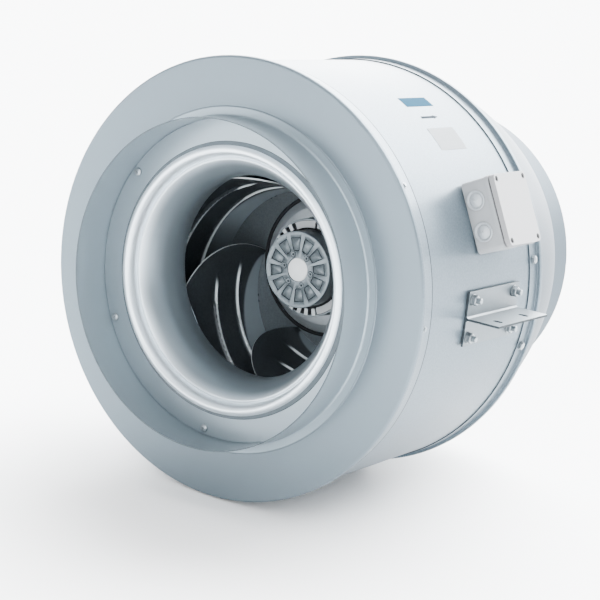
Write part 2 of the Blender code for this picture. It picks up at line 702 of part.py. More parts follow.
def make_terminal_box_base(frame, lead_hole, entry_holes, screw_holes):
    """Open box with solid corner blocks."""
    base = box_prism("terminal_box_base", rounded_rectangle(BOX_X, BOX_Z, 0.004), BOX_FLOOR, BOX_TOP,
                     "box_plastic", frame)
    cavity = notched_rectangle(BOX_X - BOX_WALL, BOX_Z - BOX_WALL, BOX_CORNER)
    room = box_prism("box_cavity", cavity, BOX_FLOOR + BOX_WALL, BOX_TOP + 0.01, None, frame)
    boolean(base, as_cutter(room))
    boolean(base, lead_hole)
    boolean(base, entry_holes)
    boolean(base, screw_holes)


def make_box_gasket(frame):
    """Thin seal that follows the top of the walls and passes inside the corner screws."""
    outer = notched_rectangle(BOX_X - 0.0007, BOX_Z - 0.0007, BOX_CORNER)
    inner = notched_rectangle(BOX_X - 0.0023, BOX_Z - 0.0023, BOX_CORNER)
    low, high = BOX_TOP + GAP, LID_BOTTOM - GAP
    bm = bmesh.new()
    loops = []
    for outline, height in ((outer, low), (outer, high), (inner, high), (inner, low)):
        loops.append([bm.verts.new((u, height, v)) for u, v in outline])
    for first, second in zip(loops, loops[1:] + loops[:1]):
        for i in range(len(first)):
            j = (i + 1) % len(first)
            bm.faces.new((first[i], first[j], second[j], second[i]))
    add_object("terminal_box_gasket", bm, "seal_rubber", frame)


def lid_screw_places(frame):
    inset_x, inset_z = BOX_X - 0.0068, BOX_Z - 0.0068
    corners = ((1, 1), (1, -1), (-1, -1), (-1, 1))
    return [frame @ Matrix.Translation((sx * inset_x, 0, sz * inset_z)) for sx, sz in corners]


def make_terminal_box_lid(frame, places):
    """Lid with a hollow underside and counterbored corner screws."""
    lid = box_prism("terminal_box_lid", rounded_rectangle(BOX_X, BOX_Z, 0.004), LID_BOTTOM, LID_TOP,
                    "lid_plastic", frame)
    hollow = notched_rectangle(BOX_X - 0.004, BOX_Z - 0.004, 0.0115)
    room = box_prism("lid_hollow", hollow, LID_BOTTOM - 0.01, LID_TOP - 0.0028, None, frame)
    boolean(lid, as_cutter(room))
    boolean(lid, pins("lid_bores", places, 0.0021, LID_BOTTOM - 0.005, LID_TOP + 0.005, 8))
    boolean(lid, pins("lid_counterbores", places, 0.0038, LID_TOP - 0.0032, LID_TOP + 0.005, 10))


def make_lid_screws(places):
    """Cheese head screws sunk in the lid's corners."""
    head = LID_TOP - 0.0032 + GAP
    profile = [(0, head + 0.0022), (0.0028, head + 0.0022), (0.0034, head + 0.0016), (0.0034, head),
               (0.0016, head), (0.0016, 0.3220), (0, 0.3205)]
    names = ("front_upper", "front_lower", "rear_lower", "rear_upper")
    for name, place in zip(names, places):
        turned("lid_screw_" + name, profile, "zinc_fastener", place, sides=10)


def entry_places(frame):
    """Frames of the two cable entries: local Y points out of the box's inlet side."""
    tip_forward = Matrix.Rotation(math.radians(-90), 4, 'Z')
    spots = [Matrix.Translation((BOX_X, ENTRY_HEIGHT, side * ENTRY_Z)) for side in (1, -1)]
    return [frame @ spot @ tip_forward for spot in spots]


def make_entry_membranes(places):
    """Soft domed membranes clipped into the cable entry holes."""
    profile = [(0, 0.0056), (0.0065, 0.0046), (0.0100, 0.0024), (0.0135, 0.0018), (0.0135, 0.0003)]
    profile += [(0.0097, 0.0003), (0.0097, -0.0028), (0.0112, -0.0030), (0.0108, -0.0043)]
    profile += [(0.0083, -0.0043), (0.0083, 0.0010), (0, 0.0034)]
    for name, place in zip(("upper", "lower"), places):
        turned("entry_membrane_" + name, profile, "entry_membrane", place, sides=16)


def make_terminal_block(frame):
    """Terminal strip on two feet above the lead's end."""
    floor = BOX_FLOOR + BOX_WALL + GAP
    under, top = 0.3168, 0.3330
    outline = [(-0.030, floor), (-0.024, floor), (-0.024, under), (0.024, under), (0.024, floor),
               (0.030, floor), (0.030, top - 0.004), (0.026, top), (-0.026, top), (-0.030, top - 0.004)]
    bm = bmesh.new()
    prism(bm, outline, -0.010, 0.010, lambda u, v, w: (w, v, u))
    add_object("terminal_block", bm, "terminal_plastic", frame)


def make_capacitor(frame):
    """Run capacitor lying behind the terminal strip."""
    place = frame @ Matrix.Translation((-0.0265, BOX_FLOOR + BOX_WALL + GAP + 0.013, 0))
    place = place @ Matrix.Rotation(math.radians(90), 4, 'X')
    profile = [(0, -0.028), (0.0118, -0.028), (0.0130, -0.0268)]
    profile += [(0.0130, 0.0268), (0.0118, 0.028), (0, 0.028)]
    turned("run_capacitor", profile, "cap_plastic", place, sides=20)


# ---------------------------------------------------------------- mounting brackets
def slot_outline():
    """Outline (x, depth) of the two slots, one after the other."""
    half = (SLOT_LENGTH - SLOT_WIDTH) / 2
    outlines = []
    for depth in SLOT_DEPTHS:
        ends = arc((SLOT_X + half, depth), SLOT_WIDTH / 2, -90, 90, 6)
        ends += arc((SLOT_X - half, depth), SLOT_WIDTH / 2, 90, 270, 6)
        outlines.append(ends)
    return outlines


def make_bracket(name, turned_by):
    """T-shaped bracket: a plate against the drum and a slotted shelf in its middle."""
    back, face = DRUM_R + GAP, DRUM_R + GAP + BRACKET_THICK
    half = BRACKET_THICK / 2
    outline = [(back, -BRACKET_HALF), (face, -BRACKET_HALF), (face, -half), (SHELF_END, -half),
               (SHELF_END, half), (face, half), (face, BRACKET_HALF), (back, BRACKET_HALF)]
    frame = Matrix.Rotation(math.radians(turned_by), 4, 'Y') @ Matrix.Translation((0, FRONT, 0))
    bm = bmesh.new()
    prism(bm, outline, *BRACKET_SPAN, lambda u, v, w: (u, w, v))
    bracket = add_object(name, bm, "zinc_bracket", frame)
    slots = bmesh.new()
    for shape in slot_outline():
        prism(slots, shape, -0.01, 0.01, lambda u, v, w: (u, v, w))
    boolean(bracket, as_cutter(add_object(name + "_slots", slots, None, frame)))
    places = []
    for depth in STUD_DEPTHS:
        for sign in (1, -1):
            place = Matrix.Translation((0, depth, sign * STUD_Z))
            places.append(frame @ place @ Matrix.Rotation(math.radians(-90), 4, 'Z'))
    boolean(bracket, pins(name + "_holes", places, 0.0045, 0.290, 0.310, 12))
    return places


def make_bracket_nuts(side, places):
    """Hex nuts on the weld studs that hold a bracket, nut and stud end as one piece."""
    seat = DRUM_R + GAP + BRACKET_THICK + GAP
    profile = [(0, 0.3145), (0.0040, 0.3145), (0.0040, seat + 0.0065), (0.0065, seat + 0.0065)]
    profile += [(0.0065, seat), (0.0040, seat), (0.0040, 0.2983), (0, 0.2983)]
    names = ("front_upper", "front_lower", "rear_upper", "rear_lower")
    for name, place in zip(names, places):
        turned(f"{side}_bracket_nut_{name}", profile, "zinc_fastener", place, sides=12, hexed=(3, 4))


def main():
    clear_scene()
    rotor_axis = add_empty("impeller_axis")
    cage_axes = add_empty("front_cage_axis"), add_empty("rear_cage_axis")

    screw_holes = pins("nozzle_screw_holes", nozzle_screw_places(), 0.0029, -0.002, 0.012)
    bolt_holes = pins("support_bolt_holes", support_bolt_places(), 0.0034, 0.288, 0.302)
    make_inlet_spigot()
    make_front_end_plate(screw_holes)
    lead_hole = make_drum_shell(bolt_holes)
    make_rear_cone(bolt_holes)
    make_inlet_nozzle(screw_holes)
    make_nozzle_screws()
    make_motor_support(bolt_holes)
    make_support_bolts()

    make_impeller_shroud(rotor_axis)
    make_back_plate(rotor_axis)
    make_blades(rotor_axis)
    make_rotor_bell(rotor_axis)
    make_rotor_cap(rotor_axis)
    make_shaft(rotor_axis)
    make_circlip(rotor_axis)
    make_bearing("front_bearing", FRONT_BEARING, rotor_axis, cage_axes[0])
    make_bearing("rear_bearing", REAR_BEARING, rotor_axis, cage_axes[1])
    make_wave_washer()
    make_stator_flange()
    make_stator_core()
    make_stator_winding()

    frame = radial(BOX_ANGLE, BOX_DEPTH)
    screws = lid_screw_places(frame)
    entries = entry_places(frame)
    entry_holes = pins("entry_holes", entries, ENTRY_R, -0.006, 0.004, 20)
    screw_bores = pins("corner_bores", screws, 0.0019, 0.3190, BOX_TOP + 0.004, 8)
    make_motor_lead()
    make_lead_grommet(frame)
    make_terminal_box_base(frame, lead_hole, entry_holes, screw_bores)
    make_box_gasket(frame)
    make_terminal_box_lid(frame, screws)
    make_lid_screws(screws)
    make_entry_membranes(entries)
    make_terminal_block(frame)
    make_capacitor(frame)

    for side, turned_by in (("right", 0), ("left", 180)):
        places = make_bracket(side + "_mounting_bracket", turned_by)
        make_bracket_nuts(side, places)


main()
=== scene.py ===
"""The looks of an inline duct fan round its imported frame: meshes, finishes, light and camera.

The fan axis is Y and the air flows towards +Y. A depth is a distance behind the front face.
"""
import json
import math

import bmesh
import bpy
from mathutils import Matrix, Quaternion, Vector

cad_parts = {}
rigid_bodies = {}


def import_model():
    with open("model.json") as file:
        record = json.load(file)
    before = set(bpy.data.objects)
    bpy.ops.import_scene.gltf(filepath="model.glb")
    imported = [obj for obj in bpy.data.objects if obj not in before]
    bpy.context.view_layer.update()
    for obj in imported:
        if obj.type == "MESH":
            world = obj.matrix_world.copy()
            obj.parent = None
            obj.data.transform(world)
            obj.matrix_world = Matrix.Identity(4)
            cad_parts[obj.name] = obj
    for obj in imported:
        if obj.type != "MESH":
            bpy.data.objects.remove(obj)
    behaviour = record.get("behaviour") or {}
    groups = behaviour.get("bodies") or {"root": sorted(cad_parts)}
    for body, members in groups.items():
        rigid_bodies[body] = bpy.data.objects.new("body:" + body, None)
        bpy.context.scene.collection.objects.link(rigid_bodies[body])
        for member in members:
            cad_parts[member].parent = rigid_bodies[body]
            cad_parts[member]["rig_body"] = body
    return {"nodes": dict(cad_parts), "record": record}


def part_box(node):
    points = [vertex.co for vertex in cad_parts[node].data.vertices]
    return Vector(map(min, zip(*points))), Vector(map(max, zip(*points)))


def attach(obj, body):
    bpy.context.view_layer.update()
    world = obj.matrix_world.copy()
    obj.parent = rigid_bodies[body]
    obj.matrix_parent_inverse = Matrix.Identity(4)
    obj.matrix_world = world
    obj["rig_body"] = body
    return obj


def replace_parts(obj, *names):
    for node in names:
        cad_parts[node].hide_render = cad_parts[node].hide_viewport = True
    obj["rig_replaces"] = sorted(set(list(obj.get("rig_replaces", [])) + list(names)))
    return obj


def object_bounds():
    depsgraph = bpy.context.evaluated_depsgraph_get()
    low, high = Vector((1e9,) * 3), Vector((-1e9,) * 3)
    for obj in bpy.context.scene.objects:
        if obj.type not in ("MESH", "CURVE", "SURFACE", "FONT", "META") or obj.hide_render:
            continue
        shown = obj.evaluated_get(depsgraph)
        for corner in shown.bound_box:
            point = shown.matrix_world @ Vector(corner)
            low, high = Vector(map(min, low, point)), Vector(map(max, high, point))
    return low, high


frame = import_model()
NODES = frame["nodes"]
CAD_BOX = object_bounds()

# ------------------------ dimensions
# taken from the frame
SPIGOT_LENGTH = 0.057
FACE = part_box("inlet_spigot_tube")[0].y + SPIGOT_LENGTH   # Y of the front face
LIP_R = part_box("front_end_plate")[1].x
FRONT_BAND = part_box("front_end_plate")[1].y - FACE        # depth where the front band ends
DRUM_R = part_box("drum_shell")[1].x
REAR_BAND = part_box("rear_cone")[0].y - FACE
REAR_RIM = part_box("rear_cone")[1].y - FACE
FLANGE_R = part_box("inlet_nozzle")[1].x
NOZZLE_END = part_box("inlet_nozzle")[1].y - FACE
IMPELLER_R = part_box("impeller_back_plate")[1].x
ROTOR_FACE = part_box("rotor_bell")[0].y - FACE
ROTOR_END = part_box("rotor_bell")[1].y - FACE
SHELF_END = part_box("right_mounting_bracket")[1].x
BRACKET_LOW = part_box("right_mounting_bracket")[0]
BRACKET_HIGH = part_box("right_mounting_bracket")[1]

# casing
SHEET = 0.0015
GAP = 0.0003
BAND_R = DRUM_R + GAP + SHEET
SPIGOT_R = 0.224
OUTLET_R = 0.2235
WELD_R = 0.2362             # outer edge of the spigot's weld flange
CONE_START = 0.3345
NOZZLE_SEAT = 0.003         # depth of the nozzle's flange
BEAD_R = 0.1891             # outer foot of the nozzle's bead

# impeller
SHROUD_IN_R = 0.1505
SHROUD_EDGE = 0.095
SHROUD_OUT = 0.150
PLATE_FACE = 0.237
PLATE_THICKNESS = 0.0025
DISH_R = 0.0990             # edge of the hub plate's dish
BLADES = 5
BLADE_STEP = 72.0
BLADE_GAP = 0.0006
BLADE_PHASE = 8.3           # degrees that the impeller stands turned at rest
BLADE_HALF = 0.001          # half a blade's thickness
ROOT_R = 0.1075             # leading edge on the hub plate
TIP_R = 0.223
RIBS = ((0.156, 0.136), (0.196, 0.121))     # depth of each pressed rib and radius of its start
RIB_HEIGHT = 0.0028
RIB_END = 0.214

# terminal box
BOX_ANGLE = 25.3            # degrees above +X
BOX_DEPTH = 0.199
BOX_X = 0.044
BOX_Z = 0.049
BOX_WALL = 0.0025
BOX_CORNER = 0.0065
BOX_FLOOR = DRUM_R + 0.0006
BOX_TOP = 0.3396
LID_BOTTOM = 0.3414
LID_TOP = 0.3490
LID_SINK = 0.0032           # depth of the holes for the screw heads
SCREW_INSET = 0.0068
ENTRY_X = 0.3146            # distance of the cable entries from the fan axis
ENTRY_SIDE = 0.0217

# brackets
PLATE_SHEET = 0.003
HALF_SHELF = 0.0015
SLOT_X = 0.334
SLOT_HALF = 0.0025          # from a slot's middle to the middle of its round ends
SLOT_R = 0.0045
SLOT_DEPTHS = (0.1535, 0.2265)
STUD_DEPTHS = (0.1375, 0.2515)
STUD_SIDE = 0.026

FINE = 144                  # sides of the large turned pieces
AT_FACE = Matrix.Translation((0, FACE, 0))
BASE_A, BASE_B, MIXED = 6, 7, 2     # a mix node's colour sockets: two inputs and the output


# ------------------------ shader helpers
def link(tree, source, target):
    tree.links.new(source, target)


def add(tree, kind, **values):
    """A shader node with its inputs and settings filled in."""
    made = tree.nodes.new(kind)
    for key, value in values.items():
        name = key.replace("_", " ")
        if name in made.inputs:
            made.inputs[name].default_value = value
        else:
            setattr(made, key, value)
    return made


def maths(tree, operation, first, second=None):
    """One step of arithmetic on sockets or numbers."""
    made = add(tree, "ShaderNodeMath", operation=operation)
    for socket, value in zip(made.inputs, (first, second)):
        if isinstance(value, (int, float)):
            socket.default_value = value
        elif value is not None:
            link(tree, value, socket)
    return made.outputs[0]


def product(tree, first, second):
    return maths(tree, 'MULTIPLY', first, second)


def spread(tree, value, source, target):
    """The value with one range stretched to another."""
    made = add(tree, "ShaderNodeMapRange", From_Min=source[0], From_Max=source[1],
               To_Min=target[0], To_Max=target[1])
    link(tree, value, made.inputs["Value"])
    return made.outputs[0]


def mask(tree, value, low, high):
    """A factor that goes from 0 to 1 as the value goes from low to high."""
    made = add(tree, "ShaderNodeMapRange", interpolation_type='SMOOTHSTEP', From_Min=low,
               From_Max=high)
    link(tree, value, made.inputs["Value"])
    return made.outputs[0]


def shaded(tree, base, factor):
    """A colour, given as a socket or as numbers, multiplied by a factor."""
    made = add(tree, "ShaderNodeMix", data_type='RGBA', blend_type='MULTIPLY', Factor=1.0)
    if isinstance(base, tuple):
        made.inputs[BASE_A].default_value = base
    else:
        link(tree, base, made.inputs[BASE_A])
    link(tree, factor, made.inputs[BASE_B])
    return made.outputs[MIXED]


def ring_parts(tree):
    """Sockets with the distance from the fan axis and the depth."""
    split = add(tree, "ShaderNodeSeparateXYZ")
    link(tree, add(tree, "ShaderNodeTexCoord").outputs["Object"], split.inputs[0])
    x, depth, z = split.outputs
    squares = maths(tree, 'ADD', product(tree, x, x), product(tree, z, z))
    return maths(tree, 'SQRT', squares), depth


def ring_coordinates(tree):
    """Coordinates that are the same all round the fan axis."""
    both = add(tree, "ShaderNodeCombineXYZ")
    for part, socket in zip(ring_parts(tree), both.inputs):
        link(tree, part, socket)
    return both.outputs[0]


def blend(made, *zones):
    """Lay the colour of each zone over the finish by its factor."""
    tree = made.node_tree
    shader = tree.nodes["Principled BSDF"]
    base = shader.inputs["Base Color"].links[0].from_socket
    for factor, colour in zones:
        mixed = add(tree, "ShaderNodeMix", data_type='RGBA')
        link(tree, factor, mixed.inputs["Factor"])
        link(tree, base, mixed.inputs[BASE_A])
        mixed.inputs[BASE_B].default_value = (*colour, 1)
        base = mixed.outputs[MIXED]
    link(tree, base, shader.inputs["Base Color"])
    return made


# ------------------------ finishes
def finish(name, colour, metallic, roughness, patch=7.0, tint=0.05, grain=500.0, bump=0.05,
           rings=0.0, shine=0.5, edge_shine=1.0, corner_shade=0.0, speck=0.0):
    """Principled finish with soft patches of colour and a fine grain.

    rings adds the tool marks of spun metal, the ambient occlusion value paints shade into corners
    and creases by darkening the colour there, and speck mottles the colour.
    """
    made = bpy.data.materials.new(name)
    made.use_nodes = True
    tree = made.node_tree
    shader = tree.nodes["Principled BSDF"]
    shader.inputs["Metallic"].default_value = metallic
    shader.inputs["Specular IOR Level"].default_value = shine
    shader.inputs["Specular Tint"].default_value = (edge_shine, edge_shine, edge_shine, 1)
    place = add(tree, "ShaderNodeTexCoord").outputs["Object"]
    soft = add(tree, "ShaderNodeTexNoise", Scale=patch, Detail=5.0, Roughness=0.55)
    link(tree, place, soft.inputs["Vector"])
    patches = soft.outputs["Fac"]
    fine = add(tree, "ShaderNodeTexNoise", Scale=grain, Detail=3.0)
    link(tree, place, fine.inputs["Vector"])
    grains = fine.outputs["Fac"]

    base = shaded(tree, (*colour, 1), spread(tree, patches, (0.3, 0.7), (1 - tint, 1 + tint)))
    if speck:
        dots = spread(tree, grains, (0.35, 0.65), (1 - speck, 1 + speck))
        base = shaded(tree, base, dots)
    if corner_shade:
        # painted shade: ambient occlusion darkens the colour in corners, creases and hollows
        corner = add(tree, "ShaderNodeAmbientOcclusion", samples=6, Distance=0.012)
        corner_darkening = spread(tree, corner.outputs["AO"], (0.2, 0.9), (1 - corner_shade, 1.0))
        base = shaded(tree, base, corner_darkening)
    link(tree, base, shader.inputs["Base Color"])
    gloss = spread(tree, patches, (0.0, 1.0), (roughness - 0.05, roughness + 0.07))
    link(tree, gloss, shader.inputs["Roughness"])

    relief = add(tree, "ShaderNodeBump", Strength=bump, Distance=0.0004)
    link(tree, grains, relief.inputs["Height"])
    normal = relief.outputs[0]
    if rings:
        turned_marks = add(tree, "ShaderNodeTexNoise", Scale=420.0, Detail=4.0)
        link(tree, ring_coordinates(tree), turned_marks.inputs["Vector"])
        lathe = add(tree, "ShaderNodeBump", Strength=rings, Distance=0.0003)
        link(tree, turned_marks.outputs["Fac"], lathe.inputs["Height"])
        link(tree, normal, lathe.inputs["Normal"])
        normal = lathe.outputs[0]
    link(tree, normal, shader.inputs["Normal"])
    return made


def blade_finish():
    """Dark sheet with a painted highlight along its ribs and painted light on a pale field where it
    meets the hub plate.
    """
    made = finish("impeller_steel", (0.015, 0.018, 0.021), 0.30, 0.32, tint=0.2, grain=300.0,
                  speck=0.15, shine=0.3, edge_shine=0.6)
    tree = made.node_tree
    radius, depth = ring_parts(tree)
    # painted light: the pale lit field starts at a depth that falls with the root of the distance
    # from the hub
    beyond = maths(tree, 'MAXIMUM', maths(tree, 'SUBTRACT', radius, 0.109), 0.0)
    border = maths(tree, 'SUBTRACT', PLATE_FACE, product(tree, maths(tree, 'SQRT', beyond), 0.16))
    pale = mask(tree, maths(tree, 'SUBTRACT', depth, border), -0.001, 0.003)
    pale = product(tree, pale, mask(tree, radius, 0.200, 0.150))
    # painted highlight: a lighter tone along the top of each pressed rib
    rib_highlight = 0.0
    for middle, start in RIBS:
        away = maths(tree, 'ABSOLUTE', maths(tree, 'SUBTRACT', depth, middle))
        one = product(tree, mask(tree, away, 0.0036, 0.0012),
                      mask(tree, radius, start, start + 0.005))
        rib_highlight = maths(tree, 'MAXIMUM', rib_highlight, one)
    return blend(made, (pale, (0.115, 0.139, 0.155)), (rib_highlight, (0.50, 0.55, 0.57)))


def casing_finish():
    """Galvanised sheet, another tone on the front face and on the spigot's rim, and painted light
    inside the spigot.
    """
    made = finish("casing_sheet", (0.098, 0.128, 0.152), 0.50, 0.33, patch=4.0, tint=0.03,
                  grain=400.0, bump=0.22, corner_shade=0.22, speck=0.11, shine=0.35, edge_shine=0.55)
    tree = made.node_tree
    radius, depth = ring_parts(tree)
    face = mask(tree, depth, 0.0030, 0.0010)
    # painted light: the inside of the spigot is lighter, where light from the front falls in
    inside = mask(tree, radius, WELD_R + 0.0004, WELD_R - 0.0017)
    rim = mask(tree, depth, 0.0007 - SPIGOT_LENGTH, 0.0002 - SPIGOT_LENGTH)
    return blend(made, (face, (0.100, 0.128, 0.148)), (inside, (0.178, 0.222, 0.251)),
                 (rim, (0.040, 0.052, 0.060)))


def nozzle_finish():
    """Spun sheet: painted light on the flange, a painted highlight on the bead, and the plain
    darker sheet on the bell.
    """
    made = finish("nozzle_sheet", (0.134, 0.162, 0.181), 0.65, 0.30, rings=0.02, tint=0.02,
                  grain=200.0, bump=0.02, corner_shade=0.15, shine=0.3, edge_shine=0.3)
    tree = made.node_tree
    radius = ring_parts(tree)[0]
    # painted light: the flange takes a lighter tone against the shade that the spigot casts on it
    flange = mask(tree, radius, 0.1872, 0.1900)
    # painted highlight: the bead is much lighter all round
    bead = product(tree, mask(tree, radius, 0.1540, 0.1730), mask(tree, radius, 0.1868, 0.1840))
    return blend(made, (flange, (0.170, 0.206, 0.230)), (bead, (0.62, 0.69, 0.74)))


def hub_finish():
    """Hub plate, with painted light that makes the dish round the motor brighter."""
    made = finish("hub_plate_steel", (0.078, 0.092, 0.102), 0.6, 0.36, rings=0.04, speck=0.1)
    radius = ring_parts(made.node_tree)[0]
    # painted light: the dish round the motor is lighter, as where light falls on it
    lit_dish = mask(made.node_tree, radius, DISH_R + 0.002, DISH_R)
    return blend(made, (lit_dish, (0.215, 0.240, 0.258)))


# name: colour, metallic, roughness and the other values of finish
PLAIN_FINISHES = {
    "cone_sheet": ((0.080, 0.103, 0.122), 0.45, 0.42, dict(
        patch=4.0, tint=0.03, grain=650.0, bump=0.22, corner_shade=0.45, speck=0.06, shine=0.15,
        edge_shine=0.22)),
    "rotor_casting": ((0.106, 0.129, 0.142), 0.35, 0.46, dict(
        grain=900.0, bump=0.3, corner_shade=0.75, speck=0.15)),
    "zinc_fastener": ((0.20, 0.228, 0.245), 0.75, 0.28, dict(patch=120.0, corner_shade=0.5)),
    "zinc_bracket": ((0.088, 0.110, 0.124), 0.5, 0.42, dict(patch=25.0, tint=0.10, corner_shade=0.5)),
    "steel_bright": ((0.45, 0.45, 0.47), 1.0, 0.2, dict(rings=0.08)),
    "stator_steel": ((0.20, 0.20, 0.22), 0.8, 0.45, dict(rings=0.2)),
    "copper_winding": ((0.45, 0.16, 0.06), 0.9, 0.35, dict(rings=0.8)),
    "box_plastic": ((0.215, 0.225, 0.235), 0.0, 0.5, dict(grain=1500.0, bump=0.1, corner_shade=0.45)),
    "lid_plastic": ((0.205, 0.205, 0.211), 0.0, 0.45, dict(grain=1500.0, bump=0.08, corner_shade=0.4)),
    "entry_membrane": ((0.26, 0.285, 0.305), 0.0, 0.35, dict(grain=900.0, corner_shade=0.5)),
    "seal_rubber": ((0.012, 0.012, 0.012), 0.0, 0.65, dict(bump=0.1)),
    "terminal_plastic": ((0.4, 0.39, 0.33), 0.0, 0.5, {}),
    "cap_plastic": ((0.46, 0.48, 0.485), 0.0, 0.4, {}),
    "label_white": ((0.30, 0.315, 0.325), 0.0, 0.5, dict(bump=0.0, shine=0.05)),
    "label_faint": ((0.30, 0.32, 0.335), 0.0, 0.8, dict(bump=0.0, shine=0.05)),
    "label_blue": ((0.006, 0.050, 0.090), 0.0, 0.9, dict(bump=0.0, shine=0.05)),
    "label_grey": ((0.02, 0.027, 0.035), 0.0, 0.9, dict(bump=0.0, shine=0.05)),
    "dark_gap": ((0.008, 0.009, 0.010), 0.0, 0.8, dict(bump=0.0, shine=0.05)),
    # lighter bare metal; on the blades' leading edges it is a painted highlight
    "bare_edge_and_highlight": ((0.24, 0.26, 0.27), 0.5, 0.35, {}),
    "bead_foot": ((0.125, 0.150, 0.167), 0.25, 0.6, dict(shine=0.05, edge_shine=0.1)),
    # near-black, for sheared edges and for painted shade in gaps, grooves and slots
    "cut_edge_and_shade": ((0.020, 0.026, 0.030), 0.0, 0.6, dict(shine=0.1)),
    # near-black, as painted shade on screws in sunk holes
    "shaded_sunk_screw": ((0.012, 0.013, 0.014), 0.0, 0.6, dict(shine=0.1)),
}
FINISHES = {
    "casing_sheet": casing_finish(),
    "nozzle_sheet": nozzle_finish(),
    "impeller_steel": blade_finish(),
    "hub_plate_steel": hub_finish(),
}
for key, (colour, metallic, roughness, extras) in PLAIN_FINISHES.items():
    FINISHES[key] = finish(key, colour, metallic, roughness, **extras)


# ------------------------ mesh helpers
def arc(centre, radius, start, end, steps):
    """Points (r, h) along an arc, angles in degrees."""
    points = []
    for i in range(steps + 1):
        a = math.radians(start + (end - start) * i / steps)
        points.append((centre[0] + radius * math.cos(a), centre[1] + radius * math.sin(a)))
    return points


def curve(start, control, end, steps):
    """Points of a quadratic curve between two points."""
    points = []
    for i in range(steps + 1):
        t = i / steps
        weights = ((1 - t) ** 2, 2 * t * (1 - t), t ** 2)
        points.append(tuple(weights[0] * a + weights[1] * b + weights[2] * c
                            for a, b, c in zip(start, control, end)))
    return points


def smooth_line(points, steps):
    """A Catmull-Rom curve through the points."""
    result = []
    for i in range(len(points) - 1):
        p0 = Vector(points[max(i - 1, 0)])
        p1 = Vector(points[i])
        p2 = Vector(points[i + 1])
        p3 = Vector(points[min(i + 2, len(points) - 1)])
        for k in range(steps):
            t = k / steps
            place = 0.5 * (2 * p1 + (p2 - p0) * t + (2 * p0 - 5 * p1 + 4 * p2 - p3) * t ** 2
                           + (3 * p1 - p0 - 3 * p2 + p3) * t ** 3)
            result.append(tuple(place))
    result.append(tuple(points[-1]))
    return result


def sheet_profile(points, thickness):
    """Close an open profile into a strip of even thickness, added on its left side."""
    offset = []
    for i, (r, h) in enumerate(points):
        before = Vector(points[max(i - 1, 0)])
        after = Vector(points[min(i + 1, len(points) - 1)])
        along = (after - before).normalized()
        offset.append((r - along.y * thickness, h + along.x * thickness))
    return list(points) + offset[::-1]


def turn(bm, profile, sides, hexed=()):
    """Turn a closed profile (r, h) round local Y. Stations listed in hexed are hexagons."""
    rings = []
    for number, (r, h) in enumerate(profile):
        if r < 1e-6:
            rings.append([bm.verts.new((0, h, 0))] * sides)
            continue
        ring = []
        for i in range(sides):
            a = 2 * math.pi * i / sides
            radius = r
            if number in hexed:
                radius = r / math.cos((a + math.pi / 6) % (math.pi / 3) - math.pi / 6)
            ring.append(bm.verts.new((radius * math.cos(a), h, radius * math.sin(a))))
        rings.append(ring)
    for upper, lower in zip(rings, rings[1:] + rings[:1]):
        if upper[0] is upper[1] and lower[0] is lower[1]:
            continue
        for i in range(sides):
            j = (i + 1) % sides
            corners = []
            for vert in (upper[i], upper[j], lower[j], lower[i]):
                if vert not in corners:
                    corners.append(vert)
            bm.faces.new(corners)


def along_y(u, v, w):
    """Place for a prism that is extruded along local Y."""
    return (u, w, v)


def prism(bm, outline, low, high, place=along_y):
    """Extrude an outline (u, v) from low to high. place turns (u, v, w) into a point."""
    bottom = [bm.verts.new(place(u, v, low)) for u, v in outline]
    top = [bm.verts.new(place(u, v, high)) for u, v in outline]
    bm.faces.new(bottom[::-1])
    bm.faces.new(top)
    for i in range(len(outline)):
        j = (i + 1) % len(outline)
        bm.faces.new((bottom[i], bottom[j], top[j], top[i]))


def rounded_rectangle(half_u, half_v, radius, steps=6):
    """Outline of a rectangle with round corners."""
    points = []
    for quarter, (su, sv) in enumerate(((1, 1), (-1, 1), (-1, -1), (1, -1))):
        centre = (su * (half_u - radius), sv * (half_v - radius))
        points += arc(centre, radius, 90 * quarter, 90 * quarter + 90, steps)
    return points


def piece(name, bm, slot, place=AT_FACE, body="housing", stands_for=(), sharp=30, bevel=0.0):
    """Turn a bmesh into a shown piece that rides on a body and stands for CAD nodes."""
    bmesh.ops.recalc_face_normals(bm, faces=bm.faces)
    mesh = bpy.data.meshes.new(name)
    bm.to_mesh(mesh)
    bm.free()
    mesh.shade_smooth()
    mesh.set_sharp_from_angle(angle=math.radians(sharp))
    obj = bpy.data.objects.new(name, mesh)
    bpy.context.scene.collection.objects.link(obj)
    obj.matrix_world = place
    if bevel:
        edge = obj.modifiers.new("edges", 'BEVEL')
        edge.width = bevel
        edge.segments = 2
        edge.limit_method = 'ANGLE'
        edge.angle_limit = math.radians(40)
        edge.harden_normals = True
    if body is None:
        return obj
    mesh.materials.append(FINISHES[slot])
    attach(obj, body)
    if stands_for:
        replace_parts(obj, *stands_for)
    return obj


def turned(name, profile, slot, place=AT_FACE, body="housing", stands_for=(), sides=FINE,
           hexed=(), sharp=30):
    """A shown piece turned round the fan axis, or round local Y of its place."""
    bm = bmesh.new()
    turn(bm, profile, sides, hexed)
    return piece(name, bm, slot, place, body, stands_for, sharp)


def cut(obj, *tools, operation='DIFFERENCE'):
    """Cut shapes out of a piece, or join them on, and apply the result."""
    for tool in tools:
        modifier = obj.modifiers.new("cut", 'BOOLEAN')
        modifier.operation = operation
        modifier.object = tool
        modifier.solver = 'EXACT'
        while obj.modifiers[0] != modifier:
            obj.modifiers.move(len(obj.modifiers) - 1, 0)
        bpy.context.view_layer.objects.active = obj
        bpy.context.view_layer.update()
        with bpy.context.temp_override(object=obj, active_object=obj, selected_objects=[obj]):
            bpy.ops.object.modifier_apply(modifier=modifier.name)
        bpy.data.objects.remove(tool, do_unlink=True)


